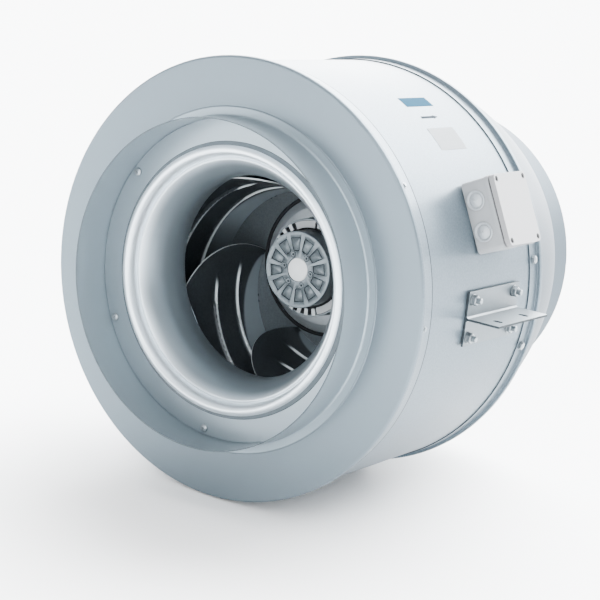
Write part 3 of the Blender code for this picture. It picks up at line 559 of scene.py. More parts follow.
def pins(matrices, radius, low, high, sides=24):
    """A shape for cut, made of round pins along local Y of each matrix."""
    whole = bmesh.new()
    for matrix in matrices:
        pin = bmesh.new()
        turn(pin, [(0, low), (radius, low), (radius, high), (0, high)], sides)
        bmesh.ops.recalc_face_normals(pin, faces=pin.faces)
        bmesh.ops.transform(pin, matrix=matrix, verts=pin.verts)
        mesh = bpy.data.meshes.new("pin")
        pin.to_mesh(mesh)
        pin.free()
        whole.from_mesh(mesh)
        bpy.data.meshes.remove(mesh)
    return cutter("pins", whole, Matrix.Identity(4))


def radial(angle, depth):
    """Frame on the axis: local Y points outwards at angle, X to the inlet, Z round the drum."""
    a = math.radians(angle)
    out = Vector((math.cos(a), 0, math.sin(a)))
    round_drum = Vector((-math.sin(a), 0, math.cos(a)))
    matrix = Matrix((out.cross(round_drum), out, round_drum)).transposed().to_4x4()
    matrix.translation = (0, FACE + depth, 0)
    return matrix


def at_angle(radius, angle):
    """Matrix of a piece with its axis along Y, at a radius and angle from the fan axis."""
    a = math.radians(angle)
    turned_by = Matrix.Rotation(-a, 4, 'Y')
    return Matrix.Translation((radius * math.cos(a), FACE, radius * math.sin(a))) @ turned_by


def off_axis(face):
    """Distance of a face's middle from the fan axis."""
    return math.hypot(face.center.x, face.center.z)


def cutter(name, bm, place=AT_FACE):
    """Turn a bmesh into a shape for cut."""
    return piece(name, bm, None, place, body=None)


def paint(obj, slot, chosen):
    """Give the chosen faces another finish."""
    obj.data.materials.append(FINISHES[slot])
    for face in obj.data.polygons:
        if chosen(face):
            face.material_index = len(obj.data.materials) - 1


def copies(first, stem, endings, places, body="housing", in_cad=True):
    """Further objects with the first one's mesh, named stem_ending, that stand for CAD nodes."""
    for ending, place in zip(endings, places):
        node = f"{stem}_{ending}"
        twin = first.copy()
        twin.name = f"{node}_fine" if in_cad else node
        bpy.context.scene.collection.objects.link(twin)
        twin.parent = None
        twin.matrix_world = place
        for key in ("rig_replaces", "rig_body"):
            if key in twin:
                del twin[key]
        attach(twin, body)
        if in_cad:
            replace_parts(twin, node)


# ------------------------ casing
def build_end_plate():
    """Front face with the spigot, its weld flange, the rolled lip and the band over the drum."""
    inner = SPIGOT_R - SHEET
    profile = [(SPIGOT_R, -SPIGOT_LENGTH), (SPIGOT_R, -0.0042)]
    profile += arc((SPIGOT_R + 0.0030, -0.0042), 0.0030, 180, 90, 5)[1:]
    profile += [(WELD_R, -0.0012)]
    profile += arc((WELD_R, -0.0004), 0.0008, -90, 0, 3)
    profile += [(WELD_R + 0.0012, 0.0)]
    profile += arc((LIP_R - 0.0040, 0.0040), 0.0040, -90, 0, 8)
    profile += [(LIP_R, 0.0078)]
    profile += arc((LIP_R - 0.0008, 0.0078), 0.0008, 0, 90, 3)
    profile += [(BAND_R + 0.0012, 0.0086)]
    profile += arc((BAND_R + 0.0012, 0.0098), 0.0012, -90, -180, 3)
    profile += [(BAND_R, FRONT_BAND - 0.0026), (BAND_R - 0.0003, FRONT_BAND)]
    profile += [(DRUM_R + GAP, FRONT_BAND), (DRUM_R + GAP, SHEET), (SPIGOT_R, SHEET)]
    profile += [(SPIGOT_R, 0.0068), (0.206, 0.0068), (0.206, 0.0053), (inner, 0.0053)]
    profile += [(inner, -SPIGOT_LENGTH)]
    plate = turned("front_end_plate_fine", profile, "casing_sheet",
                   stands_for=["front_end_plate", "inlet_spigot_tube"])
    # painted shadow: a near-black strip along the band's rear edge, where the band stands over the
    # drum
    paint(plate, "cut_edge_and_shade", lambda face: FRONT_BAND - 0.0016 < face.center.y < FRONT_BAND
          and face.normal.y > -0.1)


def build_drum():
    """Plain rolled drum."""
    profile = [(DRUM_R, 0.003), (DRUM_R, 0.331), (DRUM_R - SHEET, 0.331), (DRUM_R - SHEET, 0.003)]
    turned("drum_shell_fine", profile, "casing_sheet", stands_for=["drum_shell"])


def build_cone():
    """Rear band, rolled lip, cone and outlet spigot."""
    lip = 0.327
    cone = curve((0.2985, 0.336), (0.2700, 0.4560), (0.2290, 0.523), 20)
    outer = [(BAND_R - 0.0003, REAR_BAND), (BAND_R, REAR_BAND + 0.0003)]
    outer += [(BAND_R, lip - 0.0012)]
    outer += arc((BAND_R + 0.0012, lip - 0.0012), 0.0012, 180, 90, 3)
    outer += arc((LIP_R - 0.0010, lip + 0.0010), 0.0010, -90, 0, 3)
    outer += arc((LIP_R - 0.0030, lip + 0.0055), 0.0030, 0, 90, 5)
    outer += cone
    outer += arc((OUTLET_R + 0.0065, 0.5325), 0.0065, 215, 180, 4)
    outer += [(OUTLET_R, REAR_RIM)]
    inner = [(DRUM_R + GAP, REAR_BAND), (DRUM_R + GAP, CONE_START)]
    inner += [(r - 0.0019, h - 0.0004) for r, h in cone[2:]]
    inner += [(OUTLET_R - SHEET, 0.534), (OUTLET_R - SHEET, REAR_RIM)]
    rear = turned("rear_cone_fine", outer + inner[::-1], "casing_sheet", stands_for=["rear_cone"])
    paint(rear, "cone_sheet", lambda face: face.center.y > CONE_START)
    # painted shade: the rear band's front edge face is near-black, as the dark line along the
    # band's edge
    paint(rear, "cut_edge_and_shade", lambda face: face.normal.y < -0.9
          and face.center.y < REAR_BAND + 0.0001)


def build_nozzle():
    """Spun nozzle: flat flange, raised bead, groove, second small bead, bell mouth and throat."""
    front = [(FLANGE_R, NOZZLE_SEAT), (BEAD_R + 0.0011, NOZZLE_SEAT), (0.1893, 0.0029)]
    front += smooth_line([(0.1888, 0.0024), (0.1866, 0.0007), (0.1842, -0.0015), (0.1814, -0.0032),
                          (0.1780, -0.0039), (0.1748, -0.0024), (0.1724, 0.0016), (0.1708, 0.0068),
                          (0.1700, 0.0110)], 4)
    front += smooth_line([(0.1692, 0.0121), (0.1681, 0.0119), (0.1672, 0.0111), (0.1660, 0.0106),
                          (0.1646, 0.0110), (0.1632, 0.0124), (0.1600, 0.0162), (0.1540, 0.0240),
                          (0.1490, 0.0320), (0.1445, 0.0410), (0.1418, 0.0500), (0.1408, 0.0580),
                          (0.1412, 0.0680), (0.1430, 0.0790), (0.1455, NOZZLE_END - 0.0003)], 4)
    nozzle = turned("inlet_nozzle_fine", sheet_profile(front, -SHEET), "nozzle_sheet",
                    stands_for=["inlet_nozzle"], sharp=50)
    # painted shade: a near-black ring where the flange meets the bead's foot
    paint(nozzle, "cut_edge_and_shade", lambda face: BEAD_R < off_axis(face) < 0.1902
          and face.center.y < NOZZLE_SEAT + 0.0002)
    # painted shade: a dull, darker finish on the bead's outer slope, as the shade along the bead's
    # foot
    paint(nozzle, "bead_foot", lambda face: 0.1845 < off_axis(face) < BEAD_R
          and face.center.y < NOZZLE_SEAT - 0.0002)


def build_nozzle_screws():
    """Pan head screws with a cross recess."""
    top = NOZZLE_SEAT - GAP
    head_r, shank_r = 0.0058, 0.0025
    profile = [(0, top - 0.0034), (0.0024, top - 0.0033), (0.0042, top - 0.0027),
               (0.0054, top - 0.0017), (head_r, top - 0.0006), (head_r, top), (shank_r, top),
               (shank_r, 0.0118), (0, 0.0122)]
    places = [at_angle(0.213, 26.0 + 60.0 * i) for i in range(6)]
    first = turned("nozzle_screw_1_fine", profile, "zinc_fastener", places[0],
                   stands_for=["nozzle_screw_1"], sides=32)
    for half_u, half_v in ((0.0024, 0.0005), (0.0005, 0.0024)):
        bm = bmesh.new()
        prism(bm, rounded_rectangle(half_u, half_v, 0.0002, 2), top - 0.005, top - 0.0018)
        cut(first, cutter("recess", bm, places[0]))
    copies(first, "nozzle_screw", range(2, 7), places[1:])


def build_rim_screws():
    """Small washer-head screws round the front band."""
    seat = BAND_R
    profile = [(0, seat + 0.0026), (0.0018, seat + 0.0026), (0.0027, seat + 0.0020),
               (0.0029, seat + 0.0008), (0.0040, seat + 0.0006), (0.0042, seat + 0.0001),
               (0.0042, seat), (0, seat)]
    places = [radial(36.0 * i, 0.0188) for i in range(10)]
    first = turned("rim_screw_1", profile, "zinc_fastener", places[0], sides=24)
    copies(first, "rim_screw", range(2, 11), places[1:], in_cad=False)


def build_support_bolts():
    """Hex bolts beside the brackets, on plain washers."""
    seat = BAND_R + GAP
    tip = 0.2870
    shank_r, head_r, washer_r = 0.0030, 0.0050, 0.0062
    profile = [(0, seat + 0.0042), (0.0040, seat + 0.0042), (head_r, seat + 0.0037),
               (head_r, seat + 0.0010), (washer_r, seat + 0.0010), (washer_r, seat),
               (shank_r, seat), (shank_r, tip + 0.0008), (0.0022, tip), (0, tip)]
    names = ("right_upper", "right_lower", "left_lower", "left_upper")
    places = [radial(a, 0.315) for a in (12.0, -12.0, 192.0, 168.0)]
    first = turned("support_bolt_right_upper_fine", profile, "zinc_fastener", places[0],
                   stands_for=["support_bolt_right_upper"], sides=36, hexed=(2, 3))
    copies(first, "support_bolt", names[1:], places[1:])


def drum_patch(name, slot, angles, depths, lift, points=None):
    """A thin sticker that follows the drum. points is an outline in (0..1, 0..1) of its field."""
    bm = bmesh.new()
    steps = 14

    def place(u, v, w):
        a = math.radians(angles[0] + (angles[1] - angles[0]) * u)
        return (w * math.cos(a), depths[0] + (depths[1] - depths[0]) * v, w * math.sin(a))

    if points:
        prism(bm, points, DRUM_R + lift - 0.0002, DRUM_R + lift, place)
    else:
        low, high = DRUM_R + GAP / 3, DRUM_R + lift
        section = ((0, low), (0, high), (1, high), (1, low))
        rows = [[bm.verts.new(place(i / steps, v, w)) for v, w in section]
                for i in range(steps + 1)]
        for first, second in zip(rows, rows[1:]):
            for k in range(4):
                m = (k + 1) % 4
                bm.faces.new((first[k], first[m], second[m], second[k]))
        bm.faces.new(rows[0])
        bm.faces.new(rows[-1])
    return piece(name, bm, slot, sharp=60)


def build_stickers():
    """Blank blue label, air direction arrow and faint rating plate on the drum."""
    foil = 0.00025
    drum_patch("blue_label", "label_blue", (60.2, 63.9), (0.161, 0.231), foil)
    arrow = [(0.22, 0.0), (0.78, 0.0), (0.78, 0.72), (1.0, 0.72), (0.50, 1.0), (0.0, 0.72),
             (0.22, 0.72)]
    drum_patch("air_direction_arrow", "label_grey", (55.3, 56.6), (0.170, 0.214), foil, arrow)
    drum_patch("rating_plate", "label_faint", (44.8, 52.0), (0.160, 0.228), foil)


# ------------------------ impeller
def shroud_depth(r):
    """Depth of the shroud's inner surface at radius r."""
    t = max(0.0, min(1.0, (r - SHROUD_IN_R) / (IMPELLER_R - SHROUD_IN_R)))
    return SHROUD_OUT - (SHROUD_OUT - SHROUD_EDGE) * (1 - t) ** 2.2


def build_shroud():
    """Flared front ring of the impeller."""
    inside = [(SHROUD_IN_R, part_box("impeller_shroud")[0].y - FACE)]
    for i in range(13):
        r = SHROUD_IN_R + (IMPELLER_R - SHROUD_IN_R) * (i / 12) ** 1.4
        inside.append((r, shroud_depth(r)))
    turned("impeller_shroud_fine", sheet_profile(inside, -0.0018), "impeller_steel", body="rotor",
           stands_for=["impeller_shroud"], sharp=50)


def build_back_plate():
    """Hub plate with its raised seat, a pressed ring in near-black as painted shade, and rivet
    heads.
    """
    face = [(0.073, 0.229), (0.086, 0.229)] + smooth_line(
        [(0.088, 0.2292), (0.093, 0.2318), (0.099, 0.2352), (0.104, PLATE_FACE)], 4)
    face += [(IMPELLER_R, PLATE_FACE)]
    rear = [(r, h + PLATE_THICKNESS) for r, h in face]
    turned("impeller_back_plate_fine", face + rear[::-1], "hub_plate_steel", body="rotor",
           stands_for=["impeller_back_plate"], sharp=25)
    dot = [(0, PLATE_FACE - 0.0012), (0.0016, PLATE_FACE - 0.0010),
           (0.0026, PLATE_FACE - 0.0003), (0.0028, PLATE_FACE + 0.0001), (0, PLATE_FACE + 0.0001)]
    seat_depth = 0.008      # how far the raised seat stands out of the plate
    rivet = [(r, h - seat_depth) for r, h in dot]
    places = [at_angle(0.0815, 22.0 + 45.0 * i) for i in range(8)]
    first = turned("hub_rivet_1", rivet, "zinc_fastener", places[0], body="rotor", sides=20)
    copies(first, "hub_rivet", range(2, 9), places[1:], body="rotor", in_cad=False)
    # painted shade: a near-black bead at the dish's edge, as the shade in the step down to the
    # plate
    ring = arc((0.1030, 0.2352), 0.0028, 180, 360, 8)
    ring = [(0.1002, 0.2376)] + ring + [(0.1058, 0.2376)]
    turned("hub_ring", ring, "dark_gap", body="rotor")
    spots = []
    for number in range(BLADES):
        for r in (0.1330, 0.1362):
            beside = blade_angle(r, PLATE_FACE) - 1.2
            spots.append(at_angle(r, beside + BLADE_PHASE + BLADE_STEP * number))
    first = turned("blade_weld_1", dot, "dark_gap", spots[0], body="rotor", sides=16)
    copies(first, "blade_weld", range(2, 11), spots[1:], body="rotor", in_cad=False)


def blade_depth(r, span):
    """Depth at radius r between the shroud, where span is 0, and the back plate."""
    low = shroud_depth(r) + BLADE_GAP
    return low + (PLATE_FACE - BLADE_GAP - low) * span


def blade_angle(r, depth):
    """Angle of the blade in degrees: a logarithmic spiral that lags towards the shroud."""
    off = PLATE_FACE - depth
    return 171.6 + 155.0 * math.log(r / ROOT_R) - 330.0 * off + 650.0 * off ** 2


def blade_spot(chord, span):
    """Point of the blade's middle surface as a vector."""
    off = 1 - span
    lead = ROOT_R + 0.0435 * (off ** 1.3 + off ** 4) / 2
    r = lead * (TIP_R / lead) ** chord
    depth = blade_depth(r, span)
    a = math.radians(blade_angle(r, depth))
    return Vector((r * math.cos(a), depth, r * math.sin(a)))


def rib_height(r, depth):
    """Height of the pressed ribs that run along the blade."""
    height = 0.0
    for middle, start in RIBS:
        across = (depth - middle) / RIB_HEIGHT
        along = min(1.0, max(0.0, min((r - start) / 0.006, (RIB_END - r) / 0.010)))
        height += RIB_HEIGHT * math.exp(-across ** 2) * along
    return height


def build_blades():
    """Backward-curved blades with pressed ribs and a painted highlight along the leading edge."""
    chords, spans = 40, 84
    bm = bmesh.new()
    grid = [[blade_spot(i / chords, j / spans) for j in range(spans + 1)]
            for i in range(chords + 1)]
    sides = []
    for sign in (1, -1):
        layer = []
        for i in range(chords + 1):
            row = []
            for j in range(spans + 1):
                along = grid[min(i + 1, chords)][j] - grid[max(i - 1, 0)][j]
                across = grid[i][min(j + 1, spans)] - grid[i][max(j - 1, 0)]
                normal = along.cross(across)
                normal.y = 0
                middle = grid[i][j]
                raised = rib_height(math.hypot(middle.x, middle.z), middle.y)
                spot = middle + normal.normalized() * (sign * BLADE_HALF + raised)
                spot.y = blade_depth(math.hypot(spot.x, spot.z), j / spans)
                row.append(bm.verts.new(spot))
            layer.append(row)
        sides.append(layer)
        for i in range(chords):
            for j in range(spans):
                bm.faces.new((layer[i][j], layer[i + 1][j], layer[i + 1][j + 1], layer[i][j + 1]))
    rim = [(i, 0) for i in range(chords)] + [(chords, j) for j in range(spans)]
    rim += [(i, spans) for i in range(chords, 0, -1)] + [(0, j) for j in range(spans, 0, -1)]
    for (i, j), (k, m) in zip(rim, rim[1:] + rim[:1]):
        edge = bm.faces.new((sides[0][i][j], sides[0][k][m], sides[1][k][m], sides[1][i][j]))
        # the leading edge's faces get the second, lighter finish: a painted highlight along the
        # edge
        edge.material_index = 1 if i == 0 and k == 0 else 0

    def place(number):
        turned_by = math.radians(-BLADE_PHASE - BLADE_STEP * number)
        return AT_FACE @ Matrix.Rotation(turned_by, 4, 'Y')

    first = piece("impeller_blade_1_fine", bm, "impeller_steel", place(0), "rotor",
                  ["impeller_blade_1"])
    first.data.materials.append(FINISHES["bare_edge_and_highlight"])
    copies(first, "impeller_blade", range(2, BLADES + 1), [place(i) for i in range(1, BLADES)],
           body="rotor")


# ------------------------ motor
def sector(middle, inner, outer, half):
    """Outline of a ring's sector, half its angle to each side of the middle."""
    steps = max(2, int(half / 2))
    near = arc((0, 0), inner, middle - half, middle + half, steps)
    return near + arc((0, 0), outer, middle + half, middle - half, steps)


def pocket(middle, inner, outer, inner_half, outer_half):
    """Outline of a pocket that widens outwards, with round corners."""
    a = math.radians(middle)
    out = Vector((math.cos(a), math.sin(a)))
    side = Vector((-out.y, out.x))
    near = side * inner * math.sin(math.radians(inner_half))
    far = side * outer * math.sin(math.radians(outer_half))
    corners = [out * inner - near, out * outer - far, out * outer + far, out * inner + near]
    rounding = 0.0022
    outline = []
    for i, corner in enumerate(corners):
        before = corner + (corners[i - 1] - corner).normalized() * rounding
        after = corner + (corners[(i + 1) % 4] - corner).normalized() * rounding
        outline += curve(tuple(before), tuple(corner), tuple(after), 4)
    return outline


def trench(bm, wall, floor, low, high):
    """A ring-shaped prism between two outlines with the same number of points."""
    loops = []
    for outline, depth in ((wall, low), (wall, high), (floor, high), (floor, low)):
        loops.append([bm.verts.new((u, depth, v)) for u, v in outline])
    for first, second in zip(loops, loops[1:] + loops[:1]):
        for i in range(len(first)):
            j = (i + 1) % len(first)
            bm.faces.new((first[i], first[j], second[j], second[i]))


def build_rotor():
    """Rotor bell with twelve pockets and six bosses in its face, a finned shoulder and the cap."""
    face_r, shoulder, mouth, wall_r, flange_r = 0.0553, 0.1985, 0.0063, 0.0714, 0.086
    profile = [(mouth, ROTOR_FACE + 0.0025), (0.0174, ROTOR_FACE + 0.0025), (0.0174, ROTOR_FACE)]
    profile += [(face_r - 0.0012, ROTOR_FACE)]
    profile += arc((face_r - 0.0012, ROTOR_FACE + 0.0012), 0.0012, -90, 0, 4)[1:]
    profile += [(face_r, shoulder), (0.0690, shoulder), (0.0690, 0.1955)]
    profile += arc((0.0704, 0.1965), 0.0010, -90, 0, 3)
    profile += [(wall_r, 0.2318), (flange_r, 0.2318), (flange_r, 0.2345), (wall_r, 0.2345),
                (wall_r, ROTOR_END), (0.0665, ROTOR_END), (0.0665, 0.2025), (0.051, 0.2025),
                (0.051, 0.1715), (0.014, 0.1715), (0.014, 0.190), (mouth, 0.190)]
    bell = turned("rotor_bell_fine", profile, "rotor_casting", body="rotor",
                  stands_for=["rotor_bell"], sides=96)
    pockets, trenches = bmesh.new(), bmesh.new()
    for i in range(12):
        middle = 11.5 + 30.0 * i
        wall = pocket(middle, 0.0272, 0.0467, 11.6, 10.9)
        prism(pockets, wall, ROTOR_FACE - 0.001, ROTOR_FACE + 0.0004)
        floor = pocket(middle, 0.0283, 0.0456, 9.4, 9.6)
        trench(trenches, wall, floor, ROTOR_FACE + 0.0002, ROTOR_FACE + 0.0021)
    cut(bell, cutter("pockets", pockets), cutter("trenches", trenches))
    bosses = [at_angle(0.0232, -4.5 + 60.0 * i) for i in range(6)]
    cut(bell, pins(bosses, 0.0046, ROTOR_FACE - 0.001, ROTOR_FACE + 0.0015))
    cut(bell, pins(bosses, 0.0036, ROTOR_FACE - 0.0004, ROTOR_FACE + 0.002), operation='UNION')
    cut(bell, pins(bosses, 0.0017, ROTOR_FACE - 0.001, ROTOR_FACE + 0.0022))
    # painted shade: the walls of the pocket trenches and boss rings are near-black, as shade in the
    # grooves
    paint(bell, "cut_edge_and_shade", lambda face: 0.0007 < face.center.y - ROTOR_FACE < 0.0023
          and off_axis(face) < 0.048)

    shadow = [(0.0557, 0.1978), (0.0688, 0.1978), (0.0688, 0.1984), (0.0557, 0.1984)]
    turned("shoulder_shadow", shadow, "dark_gap", body="rotor", sides=96)
    fins = bmesh.new()
    for i in range(32):
        middle = 3.55 + 11.25 * i
        if 84 < middle < 122 or 286 < middle < 324:
            continue
        prism(fins, sector(middle, 0.0600, 0.0696, 2.6), 0.1952, 0.1977)
    piece("shoulder_fins", fins, "bare_edge_and_highlight", body="rotor")
    plates = bmesh.new()
    for middle in (103.8, 305.0):
        prism(plates, sector(middle, 0.0585, 0.0682, 15.0), 0.1955, 0.1976)
    piece("shoulder_labels", plates, "label_white", body="rotor")

    cap_face, cap_r = 0.1641, 0.0168
    cap = [(0, cap_face)] + arc((0.0, 0.2240), 0.0600, -89, -76, 5)
    cap += [(0.0160, 0.1660), (cap_r, 0.1668), (cap_r, 0.1676), (0, 0.1676)]
    turned("rotor_cap_fine", [(r, max(h, cap_face)) for r, h in cap], "cap_plastic", body="rotor",
           stands_for=["rotor_cap"], sides=64)


# ------------------------ terminal box
def build_terminal_box():
    """Base with a lip round its top, lid with sunk screws, and the domed cable entries."""
    frame_box = radial(BOX_ANGLE, BOX_DEPTH)

    def block(name, outline, low, high, slot=None, **how):
        bm = bmesh.new()
        prism(bm, outline, low, high)
        return piece(name, bm, slot, frame_box, **how)

    outside = rounded_rectangle(BOX_X, BOX_Z, BOX_CORNER)
    base = block("terminal_box_base_fine", outside, BOX_FLOOR, BOX_TOP, "box_plastic",
                 stands_for=["terminal_box_base"], bevel=0.0006)
    cavity = rounded_rectangle(BOX_X - BOX_WALL, BOX_Z - BOX_WALL, 0.003)
    cut(base, block("cavity", cavity, BOX_FLOOR + BOX_WALL, BOX_TOP + 0.01, body=None))
    entries = []
    for sign in (1, -1):
        turned_out = Matrix.Rotation(math.radians(-90), 4, 'Z')
        spot = Matrix.Translation((BOX_X, ENTRY_X, sign * ENTRY_SIDE))
        entries.append(frame_box @ spot @ turned_out)
    cut(base, pins(entries, 0.01025, -0.006, 0.004))
    cut(base, pins([frame_box], 0.010, 0.290, 0.306))
    lip = bmesh.new()
    over, under = 0.0008, 0.0005        # how far the lip stands over the wall and reaches into it
    trench(lip, rounded_rectangle(BOX_X + over, BOX_Z + over, BOX_CORNER + over),
           rounded_rectangle(BOX_X - under, BOX_Z - under, BOX_CORNER - under),
           BOX_TOP - 0.0062, BOX_TOP - 0.0002)
    piece("box_lip", lip, "box_plastic", frame_box, bevel=0.0004)

    screws = []
    for sx, sz in ((1, 1), (1, -1), (-1, -1), (-1, 1)):
        spot = (sx * (BOX_X - SCREW_INSET), 0, sz * (BOX_Z - SCREW_INSET))
        screws.append(frame_box @ Matrix.Translation(spot))
    columns = pins(screws, 0.0045, BOX_FLOOR + 0.001, BOX_TOP - 0.0002)
    cut(base, columns, operation='UNION')
    cut(base, pins(screws, 0.0019, 0.3190, BOX_TOP + 0.004, 16))

    lid = block("terminal_box_lid_fine", outside, LID_BOTTOM, LID_TOP, "lid_plastic",
                stands_for=["terminal_box_lid"], bevel=0.0016)
    hollow = rounded_rectangle(BOX_X - 0.004, BOX_Z - 0.014, 0.002)
    cut(lid, block("hollow", hollow, LID_BOTTOM - 0.01, LID_TOP - 0.0028, body=None))
    cut(lid, pins(screws, 0.0021, LID_BOTTOM - 0.005, LID_TOP + 0.005, 16))
    cut(lid, pins(screws, 0.0038, LID_TOP - LID_SINK, LID_TOP + 0.005, 32))

    head = LID_TOP - LID_SINK + GAP
    profile = [(0, head + 0.0022), (0.0028, head + 0.0022), (0.0034, head + 0.0016), (0.0034, head),
               (0.0016, head), (0.0016, 0.3220), (0, 0.3205)]
    # painted shade: the lid screws are near-black and almost without shine, as the shade in their
    # sunk holes
    first = turned("lid_screw_front_upper_fine", profile, "shaded_sunk_screw", screws[0],
                   stands_for=["lid_screw_front_upper"], sides=28)
    bm = bmesh.new()
    prism(bm, rounded_rectangle(0.004, 0.0005, 0.0002, 2), head + 0.0013, head + 0.004)
    cut(first, cutter("slit", bm, screws[0] @ Matrix.Rotation(math.radians(35), 4, 'Y')))
    copies(first, "lid_screw", ("front_lower", "rear_lower", "rear_upper"), screws[1:])

    dome = [(0, 0.0056), (0.0010, 0.0056), (0.0014, 0.0050), (0.0016, 0.0044)]
    dome += arc((0.0, -0.0100), 0.0143, 84, 47, 7)
    dome += [(0.0106, 0.0008), (0.0112, 0.0018), (0.0128, 0.0021), (0.0135, 0.0014),
             (0.0135, 0.0003), (0.0097, 0.0003), (0.0097, -0.0028), (0.0112, -0.0030),
             (0.0108, -0.0043), (0.0083, -0.0043), (0.0083, -0.0010), (0, 0.0020)]
    first = turned("entry_membrane_upper_fine", dome, "entry_membrane", entries[0],
                   stands_for=["entry_membrane_upper"], sides=48, sharp=40)
    copies(first, "entry_membrane", ["lower"], entries[1:])


# ------------------------ brackets
def build_brackets():
    """Plate against the drum and slotted shelf, with nuts on weld studs."""
    back, front = DRUM_R + GAP, DRUM_R + GAP + PLATE_SHEET
    half_plate = BRACKET_HIGH.z
    start, end = BRACKET_LOW.y - FACE, BRACKET_HIGH.y - FACE
    weld = 0.0022
    upper = [(front + weld, HALF_SHELF), (front, HALF_SHELF + weld), (front, half_plate),
             (back, half_plate)]
    outline = [(u, -v) for u, v in upper[::-1]]
    outline += [(SHELF_END, -HALF_SHELF), (SHELF_END, HALF_SHELF)] + upper
    seat = front + GAP
    stud_r, nut_r, washer_r = 0.0040, 0.0065, 0.0080
    nut = [(0, 0.3145), (0.0032, 0.3145), (stud_r, 0.3137), (stud_r, seat + 0.0065),
           (0.0056, seat + 0.0065), (nut_r, seat + 0.0059), (nut_r, seat + 0.0012),
           (0.0078, seat + 0.0012), (washer_r, seat + 0.0010), (washer_r, seat), (stud_r, seat),
           (stud_r, 0.2983), (0, 0.2983)]
    first = None

    def near_black_face(face):
        """Whether a face is a sheared edge of the sheet or a wall of a slot: these are near-black,
        as painted shade along the edges and down the slots.
        """
        slot_wall = (abs(face.normal.z) < 0.5 and face.center.x > 0.315
                     and abs(face.center.z) < HALF_SHELF)
        return (abs(face.normal.y) > 0.9 or abs(face.center.z) > half_plate - 0.0001
                or slot_wall)

    for side, turned_by in (("right", 0), ("left", 180)):
        placed = Matrix.Rotation(math.radians(turned_by), 4, 'Y') @ AT_FACE
        bm = bmesh.new()
        prism(bm, outline, start, end)
        bracket = piece(f"{side}_mounting_bracket_fine", bm, "zinc_bracket", placed,
                        stands_for=[f"{side}_mounting_bracket"], bevel=0.0002)
        slots = bmesh.new()
        for depth in SLOT_DEPTHS:
            shape = arc((SLOT_X + SLOT_HALF, depth), SLOT_R, -90, 90, 12)
            shape += arc((SLOT_X - SLOT_HALF, depth), SLOT_R, 90, 270, 12)
            prism(slots, shape, -0.01, 0.01, lambda u, v, w: (u, v, w))
        cut(bracket, cutter("slots", slots, placed))
        places = []
        for depth in STUD_DEPTHS:
            for sign in (1, -1):
                out = Matrix.Rotation(math.radians(-90), 4, 'Z')
                places.append(placed @ Matrix.Translation((0, depth, sign * STUD_SIDE)) @ out)
        cut(bracket, pins(places, 0.0045, 0.290, 0.310))
        # painted shade: sheared edges and slot walls take the near-black finish
        paint(bracket, "cut_edge_and_shade", near_black_face)
        endings = ["front_upper", "front_lower", "rear_upper", "rear_lower"]
        if first is None:
            node = f"{side}_bracket_nut_{endings.pop(0)}"
            first = turned(f"{node}_fine", nut, "zinc_fastener", places.pop(0),
                           stands_for=[node], sides=36, hexed=(4, 5, 6))
        copies(first, f"{side}_bracket_nut", endings, places)


# ------------------------ other CAD, light and camera
def dress_cad_nodes():
    """Give each CAD node that still shows the finish of its slot."""
    for entry in frame["record"]["subparts"]:
        obj = NODES[entry["node"]]
        if obj.hide_render:
            continue
        obj.data.materials.clear()
        obj.data.materials.append(FINISHES[entry["material_slot"]])


def build_stage():
    """Pale floor that runs into a pale surround."""
    bm = bmesh.new()
    bmesh.ops.create_grid(bm, x_segments=1, y_segments=1, size=30.0)
    mesh = bpy.data.meshes.new("floor")
    bm.to_mesh(mesh)
    bm.free()
    floor = bpy.data.objects.new("floor", mesh)
    bpy.context.scene.collection.objects.link(floor)
    floor.location = (0, 0, CAD_BOX[0].z - 0.002)
    pale = bpy.data.materials.new("pale_floor")
    pale.use_nodes = True
    shader = pale.node_tree.nodes["Principled BSDF"]
    shader.inputs["Base Color"].default_value = (0.88, 0.88, 0.88, 1)
    shader.inputs["Roughness"].default_value = 0.9
    shader.inputs["Specular IOR Level"].default_value = 0.0
    mesh.materials.append(pale)


# soft lights: direction, cosine at the edge, cosine where it is full, and radiance
SOFTBOXES = (((-0.15, 0.80, 0.58), 0.68, 0.96, 44.0),      # large, behind the fan
             ((0.42, -0.75, 0.50), 0.90, 0.975, 9.0))      # small, in front
AMBIENT, OVERHEAD, HORIZON = 0.30, 1.3, 5.0                # radiances of the surround
KEY_POWER, KEY_SPREAD = 2.6, 50


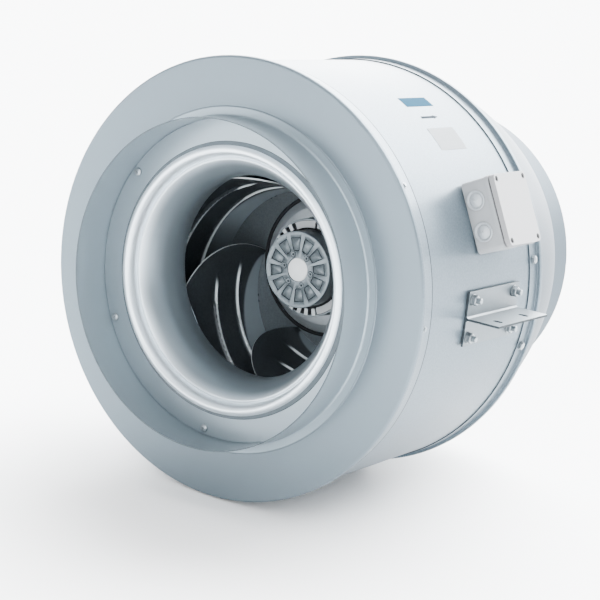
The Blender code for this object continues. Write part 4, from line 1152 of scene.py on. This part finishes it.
def build_light():
    """Studio with a pale horizon, two soft lights in the surround and a key overhead."""
    world = bpy.data.worlds.new("surround")
    bpy.context.scene.world = world
    world.use_nodes = True
    tree = world.node_tree
    sky = tree.nodes["Background"]
    sky.inputs["Color"].default_value = (0.96, 0.98, 1.0, 1)
    split = add(tree, "ShaderNodeSeparateXYZ")
    link(tree, add(tree, "ShaderNodeTexCoord").outputs["Generated"], split.inputs[0])
    overhead = product(tree, mask(tree, split.outputs["Z"], -0.1, 0.9), OVERHEAD)
    horizon = product(tree, mask(tree, split.outputs["Z"], 0.40, 0.02), HORIZON)
    total = maths(tree, 'ADD', maths(tree, 'ADD', overhead, horizon), AMBIENT)
    for direction, edge, full, power in SOFTBOXES:
        toward = 0.0
        for axis, share in zip("XYZ", Vector(direction).normalized()):
            toward = maths(tree, 'ADD', toward, product(tree, split.outputs[axis], share))
        box = product(tree, mask(tree, toward, edge, full), power)
        total = maths(tree, 'ADD', total, box)
    link(tree, total, sky.inputs["Strength"])
    data = bpy.data.lights.new("key", 'SUN')
    data.energy = KEY_POWER
    data.angle = math.radians(KEY_SPREAD)
    key = bpy.data.objects.new("key", data)
    bpy.context.scene.collection.objects.link(key)
    key.rotation_mode = 'QUATERNION'
    key.rotation_quaternion = Vector((-0.35, -0.12, -1.0)).to_track_quat('-Z', 'Y')


def build_camera():
    """Camera at the photo's angle: right of the inlet, a little above it and slightly rolled."""
    azimuth, elevation, roll = math.radians(33.13), math.radians(12.21), math.radians(6.96)
    level = math.cos(elevation)
    back = Vector((math.sin(azimuth) * level, -math.cos(azimuth) * level, math.sin(elevation)))
    data = bpy.data.cameras.new("camera")
    data.lens = 107.8
    data.sensor_width = 36.0
    camera = bpy.data.objects.new("camera", data)
    bpy.context.scene.collection.objects.link(camera)
    camera.location = (1.3866, -2.2031, 0.5025)
    camera.rotation_mode = 'QUATERNION'
    camera.rotation_quaternion = Quaternion(back, roll) @ (-back).to_track_quat('-Z', 'Y')
    bpy.context.scene.camera = camera


for build in (build_end_plate, build_drum, build_cone, build_nozzle, build_nozzle_screws,
              build_rim_screws, build_support_bolts, build_stickers, build_shroud,
              build_back_plate, build_blades, build_rotor, build_terminal_box, build_brackets,
              dress_cad_nodes, build_stage, build_light, build_camera):
    build()
